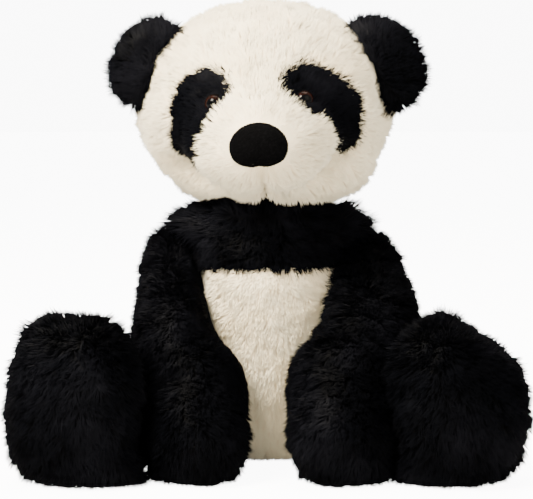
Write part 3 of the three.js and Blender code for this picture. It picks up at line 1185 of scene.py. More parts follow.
@dataclass
class Head:
    """The head, white pile round a black-patched face, with its eyes and nose, in the head's own frame."""

    centre: Point = (-1.0, 4.0, 210.0)
    turn: float = -3.0
    tilt: float = -2.5
    radii: Point = (74.0, 62.0, 59.0)
    muzzle: Ball = Ball((0.0, -44.0, -21.0), (45.0, 44.0, 30.0))
    bridge: Ball = Ball((0.0, -44.0, -1.0), (19.0, 24.0, 20.0))
    jowls: tuple[Ball, ...] = (
        Ball((27.5, -6.0, -25.0), (38.0, 43.0, 32.0)),
        Ball((-19.5, -6.0, -25.0), (36.5, 41.0, 32.0)),
        Ball((4.0, -22.0, -27.0), (44.0, 36.0, 29.5)),
    )
    neck: Point = (0.0, 5.0, 149.0)
    socket: float = 32.0
    seam_y: float = 8.0
    root: float = 3.0
    voxel: float = 2.1
    nose_height: float = -20.8
    ear_root: Point = (65.0, -14.0, 21.0)
    eye_across: float = 51.0
    eye_height: float = 3.0
    eye_yaw: float = 17.0
    muzzle_panel: tuple[float, float] = (41.0, 25.5)
    patches: dict[Side, list[tuple[float, float]]] = field(default_factory=lambda: {
        Side.RIGHT: [
            (-36, 21), (-27, 23), (-19, 20.5), (-14, 13), (-14.5, 6), (-20, -2), (-28, -11),
            (-32, -20), (-33.5, -31), (-39, -29.5), (-51, -19), (-50, -5), (-49, 6), (-44, 15),
        ],
        Side.LEFT: [
            (11, 12), (15, 19.5), (24, 23), (35, 21.5), (47, 13), (55.5, 3), (55.5, -9),
            (54, -21), (45, -30.5), (39.5, -23), (37.5, -13), (30, -9), (21, -3), (13, 4),
        ],
    })

    @property
    def place(self) -> Matrix:
        """Leads from the head's frame to the toy's.

        Returns:
            The matrix, in millimetres.
        """
        turn = Matrix.Rotation(math.radians(self.turn), 4, "Z")
        tilt = Matrix.Rotation(math.radians(self.tilt), 4, "Y")
        return Matrix.Translation(self.centre) @ (turn @ tilt)

    @property
    def neck_pivot(self) -> np.ndarray:
        """The middle of the neck's ball, in the head's frame."""
        return np.array(self.place.inverted() @ Vector(self.neck))

    def skin(self) -> bmesh.types.BMesh:
        """The surface that the pile grows from.

        Returns:
            The closed skin.
        """
        skull = Ball((0.0, 0.0, 0.0), self.radii)
        forms = [skull, self.muzzle, self.bridge, *self.jowls]
        made = united(forms, self.root, self.voxel, rounds=10, stuffing=Stuffing())
        move_to(made, self.shaped(coordinates(made)))
        return made

    def shaped(self, places: np.ndarray) -> np.ndarray:
        """Models the head's skin: the crease round the muzzle, its parting and the hollow over the neck.

        Args:
            places: places on the blown-out head.

        Returns:
            The places after the modelling.
        """
        crease, parting = self.creases(places)
        lumps = waves(places, 55.0, 11) * 0.8 + waves(places, 19.0, 12) * 0.45
        moved = places + unit(places) * (lumps - 11.0 * crease - 5.0 * parting)[:, None]
        pivot = self.neck_pivot
        away = moved - pivot
        distance = np.linalg.norm(away, axis=1)
        inside = distance < self.socket + self.root
        moved[inside] = pivot + away[inside] / distance[inside, None] * (self.socket + self.root)
        return moved

    def muzzle_rim(self, places: np.ndarray) -> np.ndarray:
        """How far each place is from the muzzle's middle, with 1 at the edge of the muzzle's panel."""
        width, height = self.muzzle_panel
        return np.hypot(places[:, 0] / width, (places[:, 2] - self.muzzle.centre[2]) / height)

    def creases(self, places: np.ndarray) -> tuple[np.ndarray, np.ndarray]:
        """How far each place is in the crease round the muzzle, and in the parting under the nose.

        Args:
            places: places on the skin.

        Returns:
            Two shares from 0 to 1 for each place: of the crease, and of the parting.
        """
        rim = self.muzzle_rim(places)
        front = ramp(-places[:, 1], 20.0, 34.0)
        crease = np.exp(-(((rim - 1.16) / 0.2) ** 2)) * front
        crease = crease * ramp(-places[:, 2], 18.0, 32.0) * ramp(-places[:, 2], 51.0, 41.0)
        parting = np.exp(-(((places[:, 0] - 1.0) / 4.2) ** 2)) * ramp(-places[:, 2], 29.0, 34.0) * front
        return crease, parting

    def inside_outline(self, places: np.ndarray, outline: Sequence[tuple[float, float]]) -> np.ndarray:
        """Whether each place, seen from the front, is inside a closed outline in x and z.

        Args:
            places: places on the skin.
            outline: the corners, as x and z.

        Returns:
            One yes or no for each place.
        """
        inside = np.zeros(len(places), bool)
        x, z = places[:, 0], places[:, 2]
        for (x1, z1), (x2, z2) in zip(outline, list(outline[1:]) + [outline[0]]):
            crosses = ((z1 > z) != (z2 > z)) & (x < (x2 - x1) * (z - z1) / (z2 - z1 + 1e-9) + x1)
            inside ^= crosses
        return inside & (places[:, 1] < -12.0)

    def eye_centre(self, side: Side) -> Point:
        """The middle of an eye's dome.

        Args:
            side: the side of the eye.

        Returns:
            The middle, in the head's frame.
        """
        x = side.sign * self.eye_across / 2
        a, b, c = self.radii
        return (x, -b * math.sqrt(1 - (x / a) ** 2 - (self.eye_height / c) ** 2), self.eye_height)

    def eye_outward(self, side: Side) -> Point:
        """The way an eye looks."""
        yaw = math.radians(side.sign * self.eye_yaw)
        return (math.sin(yaw), -math.cos(yaw), 0.0)

    def flow(self, roots: np.ndarray, normals: np.ndarray) -> np.ndarray:
        """The head's pile is combed away from the nose, and hangs a little.

        Args:
            roots: where the hairs leave the skin.
            normals: the skin's normals there; not used.

        Returns:
            The way that each hair is combed.
        """
        nose = np.array([0.0, -80.0, self.nose_height])
        away = unit(roots - nose)
        distance = np.linalg.norm(roots - nose, axis=1)
        down = np.array([0.0, 0.15, -0.35]) * ramp(distance, 30.0, 110.0)[:, None]
        chin = ramp(-roots[:, 2], 28.0, 36.0) * np.exp(-((roots[:, 0] / 9.0) ** 2))
        parted = np.sign(roots[:, 0])[:, None] * np.array([0.8, 0.0, 0.0]) * chin[:, None]
        return away + down + parted

    def trim(self, roots: np.ndarray, normals: np.ndarray) -> np.ndarray:
        """The head's pile is shorter round the nose and the eyes, and shortest over the neck.

        Args:
            roots: where the hairs leave the skin.
            normals: the skin's normals there; not used.

        Returns:
            Each hair's length, as a share of the full length.
        """
        share = np.ones(len(roots))
        nose = np.hypot(roots[:, 0] / 16.5, (roots[:, 2] - self.nose_height) / 12.0)
        front = roots[:, 1] < -50.0
        share = np.where(front, np.minimum(share, 0.16 + 0.84 * ramp(nose, 1.0, 1.8)), share)
        for side in Side:
            distance = np.linalg.norm(roots - np.array(self.eye_centre(side)), axis=1)
            share = np.minimum(share, 0.5 + 0.5 * ramp(distance, 5.0, 10.0))
            ear_root = np.array(self.ear_root) * (side.sign, 1, 1)
            ear = np.linalg.norm((roots - ear_root) / (14.0, 22.0, 30.0), axis=1)
            share = np.minimum(share, 0.4 + 0.6 * ramp(ear, 0.7, 1.1))
        crease, parting = self.creases(roots)
        share = share * (1 - 0.45 * crease) * (1 - 0.5 * parting)
        pivot = self.neck_pivot
        distance = np.linalg.norm(roots - pivot, axis=1)
        return np.minimum(share, 0.2 + 0.8 * ramp(distance, self.socket + 5.0, self.socket + 12.0))

    def build(self) -> None:
        """Builds every piece of the head but the ears."""
        skin = self.skin()
        middles = face_middles(skin)
        front = middles[:, 1] < self.seam_y
        rim = self.muzzle_rim(middles)
        patch = {side: self.inside_outline(middles, self.patches[side]) for side in Side}
        muzzle = (rim < 1) & (middles[:, 1] < -40.0) & ~patch[Side.LEFT] & ~patch[Side.RIGHT]
        white = Pile(length=7.2, lean=46.0, tuft=8.5, gather=0.34, ragged=0.24, stray=0.07, seed=21)
        streaked = Pile(length=7.4, lean=46.0, tuft=5.5, gather=0.5, ragged=0.34, stray=0.08, seed=22)
        black = Pile(length=6.2, lean=42.0, tuft=4.5, gather=0.4, ragged=0.3, stray=0.08, seed=23)
        face = front & ~muzzle & ~patch[Side.LEFT] & ~patch[Side.RIGHT]
        self._panel(skin, face, "face", ["face_skin"], Slot.WHITE, white)
        self._panel(skin, muzzle, "muzzle", ["muzzle_skin"], Slot.WHITE, streaked)
        self._panel(skin, ~front, "head_back", ["head_back_skin"], Slot.WHITE, white)
        for side in Side:
            name = f"eye_patch_{side.value}"
            self._panel(skin, patch[side], f"{name}_pile", [name], Slot.BLACK, black)
            self._eye(side)
            self._washer(side)
        skin.free()
        self._nose()
        self._filling()

    def _panel(
        self, skin: bmesh.types.BMesh, wanted: np.ndarray, name: str, nodes: list[str], dye: Slot, pile: Pile
    ) -> None:
        """Builds one panel of pile fabric of the head.

        Args:
            skin: the head's whole skin.
            wanted: for each face, whether it is in the panel.
            name: the piece's name.
            nodes: the CAD nodes that it stands for.
            dye: its slot of the record.
            pile: how its pile stands.
        """
        panel = FurPanel(pile, self.flow, self.trim, floor=False)
        mesh = panel.mesh(kept_faces(skin, wanted), name)
        finished(name, mesh, dye, "head", nodes, place=self.place)

    def _eye(self, side: Side, radius: float = 6.0, shank: float = 2.2, length: float = 14.0) -> None:
        """Builds a safety eye: a domed front with a rim, on a plain shank that steps in once, without the
        ribs.

        Args:
            side: the side of the eye.
            radius: the dome's radius.
            shank: the shank's radius.
            length: the shank's length.
        """
        mesh = bmesh.new()
        bmesh.ops.create_uvsphere(mesh, u_segments=48, v_segments=24, radius=radius)
        whole = mesh.verts[:] + mesh.edges[:] + mesh.faces[:]
        bmesh.ops.bisect_plane(
            mesh, geom=whole, plane_co=(0, 0, -0.6), plane_no=(0, 0, -1), clear_outer=True,
        )
        bmesh.ops.holes_fill(mesh, edges=[edge for edge in mesh.edges if edge.is_boundary])
        back = min(mesh.faces, key=lambda face: face.calc_center_median().z)
        rim, half = (0.5, -0.5), -length / 2
        for inset, step in (rim, (radius - 1.0 - shank, 0.0), (0.0, half), (0.3, half)):
            if inset:
                bmesh.ops.inset_region(mesh, faces=[back], thickness=inset)
            if step:
                found = bmesh.ops.extrude_face_region(mesh, geom=[back])["geom"]
                bmesh.ops.delete(mesh, geom=[back], context="FACES_ONLY")
                back = next(item for item in found if isinstance(item, bmesh.types.BMFace))
                bmesh.ops.translate(mesh, verts=back.verts[:], vec=(0, 0, step))
        outward = Vector(self.eye_outward(side))
        turn = outward.to_track_quat("Z", "Y").to_matrix().to_4x4()
        seat = Matrix.Translation(self.eye_centre(side)) @ turn
        bmesh.ops.transform(mesh, verts=mesh.verts[:], matrix=seat)
        world = self.place
        centre = tuple(world @ Vector(self.eye_centre(side)))
        finish = EyeFinish(f"eye_plastic_{side.value}", centre, tuple(world.to_3x3() @ outward))
        name = f"eye_{side.value}"
        dome = smooth_mesh(mesh, name)
        finished(f"{name}_dome", dome, Slot.EYE, "head", [name], place=world, material=finish.material())

    def _washer(self, side: Side, radius: float = 7.5, hole: float = 2.45, thick: float = 1.6) -> None:
        """Builds a plain bevelled disc for the toothed lock washer that holds an eye.

        Args:
            side: the side of the eye.
            radius: the disc's radius.
            hole: the hole's radius.
            thick: the disc's thickness.
        """
        mesh = bmesh.new()
        bmesh.ops.create_circle(mesh, cap_ends=False, segments=48, radius=radius)
        outer = mesh.edges[:]
        bmesh.ops.create_circle(mesh, cap_ends=False, segments=48, radius=hole)
        inner = [edge for edge in mesh.edges if edge not in outer]
        flat = bmesh.ops.bridge_loops(mesh, edges=outer + inner)["faces"]
        bmesh.ops.inset_region(mesh, faces=flat, thickness=0.9)
        grown = bmesh.ops.extrude_face_region(mesh, geom=mesh.faces[:])["geom"]
        raised = [item for item in grown if isinstance(item, bmesh.types.BMVert)]
        bmesh.ops.translate(mesh, verts=raised, vec=(0, 0, thick))
        bmesh.ops.recalc_face_normals(mesh, faces=mesh.faces[:])
        edges = [edge for edge in mesh.edges if edge.calc_face_angle(0.0) > 0.8]
        bmesh.ops.bevel(
            mesh, geom=edges, offset=0.25, segments=2, affect="EDGES", profile=0.5, material=-1,
        )
        outward = Vector(self.eye_outward(side))
        turn = outward.to_track_quat("Z", "Y").to_matrix().to_4x4()
        back = Vector(self.eye_centre(side)) - outward * 7.2
        bmesh.ops.transform(mesh, verts=mesh.verts[:], matrix=Matrix.Translation(back) @ turn)
        name = f"eye_washer_{side.value}"
        disc = smooth_mesh(mesh, name)
        finished(f"{name}_disc", disc, Slot.WASHER, "head", [name], place=self.place)

    def _nose(self, width: float = 16.8, height: float = 12.8) -> None:
        """Builds the nose: a wide oval pad, a little notched below, of close upright stitches.

        Args:
            width: half the width of the pad.
            height: half its height.
        """
        mesh = bmesh.new()
        bmesh.ops.create_uvsphere(mesh, u_segments=160, v_segments=40, radius=1.0)
        places = coordinates(mesh)
        angle = np.arctan2(places[:, 1], places[:, 0])
        radius = np.hypot(places[:, 0], places[:, 1])
        notch = 1.0 - 0.06 * np.exp(-(((angle + math.pi / 2) / 0.16) ** 2))
        power = np.where(np.sin(angle) > 0, 2.1, 2.6)
        squared = (np.abs(np.cos(angle)) ** power + np.abs(np.sin(angle)) ** power) ** (-1 / power)
        edge = notch * squared * (1 + 0.014 * np.sin(angle * 52) + 0.004 * np.sin(angle * 17 + 1))
        x = radius * np.cos(angle) * width * edge * (1 - 0.10 * np.clip(np.sin(angle), 0, 1))
        z = radius * np.sin(angle) * height * edge
        thick = places[:, 2]
        centre, radii = np.array(self.muzzle.centre), np.array(self.muzzle.radii)
        level = self.nose_height + z
        inside = 1 - (x / radii[0]) ** 2 - ((level - centre[2]) / radii[2]) ** 2
        surface = centre[1] - radii[1] * np.sqrt(np.maximum(inside, 0.05))
        stitches = 0.16 * np.abs(np.sin(x * math.pi / 0.85)) * (thick > 0.05)
        swell = np.where(thick > 0, 2.3 * np.abs(thick) ** 0.8, -1.0 * np.abs(thick))
        move_to(mesh, np.stack([x, surface - swell - stitches, level], axis=1))
        bmesh.ops.recalc_face_normals(mesh, faces=mesh.faces[:])
        pad = smooth_mesh(mesh, "nose")
        finished("nose_pad", pad, Slot.NOSE, "head", ["nose"], place=self.place)

    def _filling(self) -> None:
        """Builds the fibre inside the head."""
        filling = Filling()
        forms = [Ball((0.0, 0.0, 0.0), self.radii), self.muzzle, self.bridge]
        surface = united(forms, self.root + 3.6, filling.voxel, rounds=6)
        places = coordinates(surface)
        pivot = self.neck_pivot
        away = places - pivot
        distance = np.linalg.norm(away, axis=1)
        inside = distance < self.socket + 8.0
        places[inside] = pivot + away[inside] / distance[inside, None] * (self.socket + 8.0)
        for side in Side:
            centre = np.array(self.eye_centre(side)) - 3.0 * np.array(self.eye_outward(side))
            gap = places - centre
            near = np.linalg.norm(gap, axis=1)
            close = near < 13.0
            inward = -np.array(self.eye_outward(side))
            places[close] += inward * (13.0 - near[close])[:, None]
        move_to(surface, places)
        mesh = filling.mesh(surface, "head_fibre")
        finished("head_fibre", mesh, Slot.FIBRE, "head", ["head_filling"], place=self.place)


@dataclass
class Ear:
    """One ear: a shaggy front and back sewn round their edge, with a little fibre between."""

    head: Head
    side: Side
    lean: float = 30.0
    yaw: float = 8.0
    outward: float = 5.0
    ahead: float = 0.0
    rise: float = 0.0
    radii: Point = (25.0, 8.5, 28.0)
    cup: float = 2.6

    @property
    def place(self) -> Matrix:
        """Leads from the ear's frame, which folds about its Z and faces -Y, to the toy's.

        Returns:
            The matrix, in millimetres.
        """
        sign = self.side.sign
        lean = Matrix.Rotation(math.radians(-sign * self.lean), 4, "Y")
        yaw = Matrix.Rotation(math.radians(-sign * self.yaw), 4, "Z")
        across, ahead, rise = self.head.ear_root
        return self.head.place @ Matrix.Translation((sign * across, ahead, rise)) @ (lean @ yaw)

    def form(self, inset: float, voxel: float, thin: float = 0.0) -> bmesh.types.BMesh:
        """The ear's surface, shrunk by inset and thinned, cut off where it meets the head.

        Args:
            inset: how much the ear is shrunk by.
            voxel: the side of the surface's faces.
            thin: how much flatter it is made.

        Returns:
            The closed surface.
        """
        sign = self.side.sign
        radii = (self.radii[0], self.radii[1] + inset - thin, self.radii[2])
        made = united([Ball((sign * self.outward, -self.ahead, self.rise), radii)], inset, voxel, rounds=4)
        places = coordinates(made)
        aside, above = places[:, 0] - sign * self.outward, places[:, 2] - self.rise
        share = np.hypot(aside / self.radii[0], above / self.radii[2])
        hollow = self.cup * (1 - ramp(share, 0.2, 0.85))
        places[:, 1] += hollow * np.where(places[:, 1] < -self.ahead, 1.0, 0.25)
        out = places[:, 0] * sign
        places[:, 0] = np.where(out < -1.0, sign * (-1.0 + 0.12 * (out + 1.0)), places[:, 0])
        move_to(made, places)
        return made

    def flow(self, roots: np.ndarray, normals: np.ndarray) -> np.ndarray:
        """The pile is combed out to the rim, and at the root over the head's edge.

        Args:
            roots: where the hairs leave the skin.
            normals: the skin's normals there; not used.

        Returns:
            The way that each hair is combed.
        """
        inner = ramp(-roots[:, 0] * self.side.sign, -7.0, 1.0)[:, None]
        out = unit(roots + np.array([self.side.sign * 14.0, 0.0, 0.0]))
        return out * (1 - inner) + np.array([-self.side.sign, -0.2, 0.0]) * inner

    def build(self) -> None:
        """Builds the ear's front, back and fibre."""
        side = self.side.value
        skin = self.form(4.4, 1.9, thin=0.0)
        middles = face_middles(skin)
        seed = 31 + self.side.sign
        pile = Pile(length=8.5, lean=38.0, tuft=6.0, gather=0.6, ragged=0.45, stray=0.12, seed=seed)
        front = middles[:, 1] < 0.4 - self.ahead
        body, place = f"ear_{side}", self.place
        for name, wanted in (("front", front), ("back", ~front)):
            panel = FurPanel(pile, self.flow, seam=0.5, floor=False)
            mesh = panel.mesh(kept_faces(skin, wanted), name)
            node = f"ear_{name}_{side}"
            finished(f"{node}_pile", mesh, Slot.BLACK, body, [node], place=place)
        skin.free()
        mesh = Filling(voxel=2.5, lumps=0.2).mesh(self.form(7.0, 2.0, thin=4.2), "ear_fibre")
        node = f"ear_filling_{side}"
        finished(f"ear_fibre_{side}", mesh, Slot.FIBRE, body, [node], place=place)


# ---------------------------------------------------------------- limbs


@dataclass
class Arm:
    """One arm, from its seam at the shoulder to a round paw that rests on the ground."""

    side: Side
    shoulder: Point
    elbow: Point
    hand: Point
    radii: Point
    root: float = 3.6
    voxel: float = 2.2
    raise_degrees: float = 60.0
    inner_press: float = 0.5
    forearm: float = 8.0
    spread: tuple[float, float] = (-6.0, 10.5)

    @property
    def upper(self) -> Taper:
        """The upper arm."""
        return Taper(self.shoulder, self.radii[0], self.elbow, self.radii[1])

    @property
    def lower(self) -> Taper:
        """The forearm and the paw."""
        return Taper(self.elbow, self.radii[1], self.hand, self.radii[2])

    def surface(self, inset: float, voxel: float, stuffing: Stuffing | None = None) -> bmesh.types.BMesh:
        """The arm's surface, shrunk by inset, soft at the elbow and drawn in a little at the wrist.

        Args:
            inset: how much the arm is shrunk by.
            voxel: the side of the surface's faces.
            stuffing: blows the surface out, if given.

        Returns:
            The closed surface.
        """
        halfway = Vector(self.elbow).lerp(Vector(self.hand), 0.5)
        halfway -= Vector((self.side.sign * self.forearm, 0.0, 0.0))
        forearm = Ball(tuple(halfway), (self.radii[2] + 1.0,) * 3)
        cap = Ball(tuple(Vector(self.shoulder) + Vector((0.0, 0.0, 2.0))), (self.radii[0] + 0.5,) * 3)
        made = united([self.upper, self.lower, forearm, cap], inset, voxel, rounds=12, stuffing=stuffing)
        places = coordinates(made)
        elbow, hand = np.array(self.elbow), np.array(self.hand)
        along = (hand - elbow) / np.linalg.norm(hand - elbow)
        reach = (places - elbow) @ along
        middle = elbow + reach[:, None] * along
        out = unit(places - middle)
        wrist = np.exp(-(((reach - np.linalg.norm(hand - elbow) * 0.62) / 6.0) ** 2))
        lumps = waves(places, 42.0, 13 + self.side.sign)
        places = places + out * (0.9 * lumps - 1.3 * wrist)[:, None]
        inner = ramp(-out[:, 0] * self.side.sign, 0.1, 0.8) * ramp(places[:, 2], 68.0, 88.0)
        places[:, 0] += self.side.sign * inner * 6.0 * self.inner_press
        low, high = self.spread if self.side is Side.LEFT else self.spread[::-1]
        places = sagged(places, self.hand, low, high)
        places[:, 2] = np.maximum(places[:, 2], inset * 0.6)
        move_to(made, places)
        return made

    def flow(self, roots: np.ndarray, normals: np.ndarray) -> np.ndarray:
        """The pile is combed down the arm, and over the paw to its front.

        Args:
            roots: where the hairs leave the skin.
            normals: the skin's normals there; not used.

        Returns:
            The way that each hair is combed.
        """
        shoulder, elbow, hand = (np.array(p) for p in (self.shoulder, self.elbow, self.hand))
        upper, lower = unit((elbow - shoulder)[None])[0], unit((hand - elbow)[None])[0]
        share = ramp((roots - elbow) @ lower, -18.0, 18.0)[:, None]
        return upper * (1 - share) + lower * share + np.array([0.0, 0.0, -0.25])

    def trim(self, roots: np.ndarray, normals: np.ndarray) -> np.ndarray:
        """The pile is pressed short where the arm lies against the belly.

        Args:
            roots: where the hairs leave the skin.
            normals: the skin's normals there.

        Returns:
            Each hair's length, as a share of the full length.
        """
        inner = ramp(-normals[:, 0] * self.side.sign, 0.25, 0.75) * ramp(roots[:, 2], 35.0, 60.0)
        return 1.0 - self.inner_press * inner

    def build(self) -> None:
        """Builds the arm's skin and fibre."""
        side = self.side.value
        seed = 41 + self.side.sign
        pile = Pile(length=8.8, lean=45.0, tuft=7.0, gather=0.48, ragged=0.34, stray=0.09, seed=seed)
        skin = self.surface(self.root, self.voxel, Stuffing())
        mesh = FurPanel(pile, self.flow, self.trim).mesh(skin, "arm")
        body = f"arm_{side}"
        finished(f"arm_{side}_pile", mesh, Slot.BLACK, body, [f"arm_skin_{side}"])
        fibre = Filling(voxel=4.0).mesh(self.surface(self.root + 2.6, 4.0), "arm_fibre")
        finished(f"arm_fibre_{side}", fibre, Slot.FIBRE, body, [f"arm_filling_{side}"])


@dataclass
class Leg:
    """One leg, splayed out from the hip, with a large upright foot."""

    side: Side
    hip: Point
    ankle: Point
    foot: Point
    foot_radii: Point
    yaw: float
    radius: float = 21.5
    pitch: float = 9.0
    roll: float = 0.0
    droop: float = 0.0
    swing_degrees: float = 85.0
    spread: tuple[float, float] = (19.0, -5.0)
    sole_depth: float = 15.0
    root: float = 4.6
    voxel: float = 2.3

    @property
    def tube(self) -> Taper:
        """The leg above the foot."""
        return Taper(self.hip, self.radius, self.ankle, self.radius)

    @property
    def forward(self) -> np.ndarray:
        """The way the sole faces.

        Returns:
            A direction, one long.
        """
        yaw = Matrix.Rotation(math.radians(self.yaw), 3, "Z")
        pitch = Matrix.Rotation(math.radians(-self.pitch), 3, "X")
        return np.array((yaw @ pitch) @ Vector((0.0, -1.0, 0.0)))

    def surface(self, inset: float, voxel: float, stuffing: Stuffing | None = None) -> bmesh.types.BMesh:
        """The leg's surface, shrunk by inset, with the sole's seam drawn in.

        Args:
            inset: how much the leg is shrunk by.
            voxel: the side of the surface's faces.
            stuffing: blows the surface out, if given.

        Returns:
            The closed surface.
        """
        foot = Ball(self.foot, self.foot_radii, (-self.pitch, self.roll, self.yaw), squareness=2.7)
        made = united([self.tube, foot], inset, voxel, rounds=12, stuffing=stuffing)
        places = coordinates(made)
        from_foot = places - np.array(self.foot)
        ahead = from_foot @ self.forward
        out = unit(from_foot)
        seam = np.exp(-(((ahead - self.sole_depth) / 3.5) ** 2))
        lumps = waves(places, 46.0, 17 + self.side.sign)
        places = places + out * (1.4 * lumps - 1.6 * seam)[:, None]
        low, high = self.spread if self.side is Side.LEFT else self.spread[::-1]
        places = sagged(places, self.foot, low, high)
        outer = ramp((places[:, 0] - self.foot[0]) * self.side.sign, -14.0, 25.0)
        places[:, 0] -= self.side.sign * self.droop * outer * ramp(places[:, 2], 52.0, 88.0) ** 1.5
        places[:, 2] = np.maximum(places[:, 2], inset * 0.6)
        move_to(made, places)
        return made

    def flow(self, roots: np.ndarray, normals: np.ndarray) -> np.ndarray:
        """The pile is combed down the leg, and over the toe to hang down the sole.

        Args:
            roots: where the hairs leave the skin.
            normals: the skin's normals there; not used.

        Returns:
            The way that each hair is combed.
        """
        from_foot = roots - np.array(self.foot)
        over_toe = self.forward * ramp(from_foot[:, 2], 8.0, 40.0)[:, None]
        outward = unit(from_foot * np.array([1.0, 1.0, 0.0]))
        hanging = outward * 0.4 + over_toe + np.array([0.0, 0.0, -0.9])
        down_leg = unit((np.array(self.ankle) - np.array(self.hip))[None])
        near_foot = ramp(-np.linalg.norm(from_foot, axis=1), -64.0, -44.0)[:, None]
        return down_leg * (1 - near_foot) + hanging * near_foot + np.array([0.0, 0.0, -0.25])

    def build(self) -> None:
        """Builds the leg's skin, its sole and its fibre."""
        side = self.side.value
        skin = self.surface(self.root, self.voxel, Stuffing())
        ahead = (face_middles(skin) - np.array(self.foot)) @ self.forward
        seed, body = 51 + self.side.sign, f"leg_{side}"
        pile = Pile(length=8.8, lean=42.0, tuft=7.5, gather=0.62, ragged=0.45, stray=0.11, seed=seed)
        for name, node, wanted in (
            (f"leg_{side}_pile", f"leg_skin_{side}", ahead < self.sole_depth),
            (f"sole_{side}_pile", f"foot_sole_{side}", ahead >= self.sole_depth),
        ):
            mesh = FurPanel(pile, self.flow).mesh(kept_faces(skin, wanted), name)
            finished(name, mesh, Slot.BLACK, body, [node])
        skin.free()
        fibre = Filling(voxel=4.5).mesh(self.surface(self.root + 2.6, 4.5), "leg_fibre")
        finished(f"leg_fibre_{side}", fibre, Slot.FIBRE, body, [f"leg_filling_{side}"])


# ---------------------------------------------------------------- torso


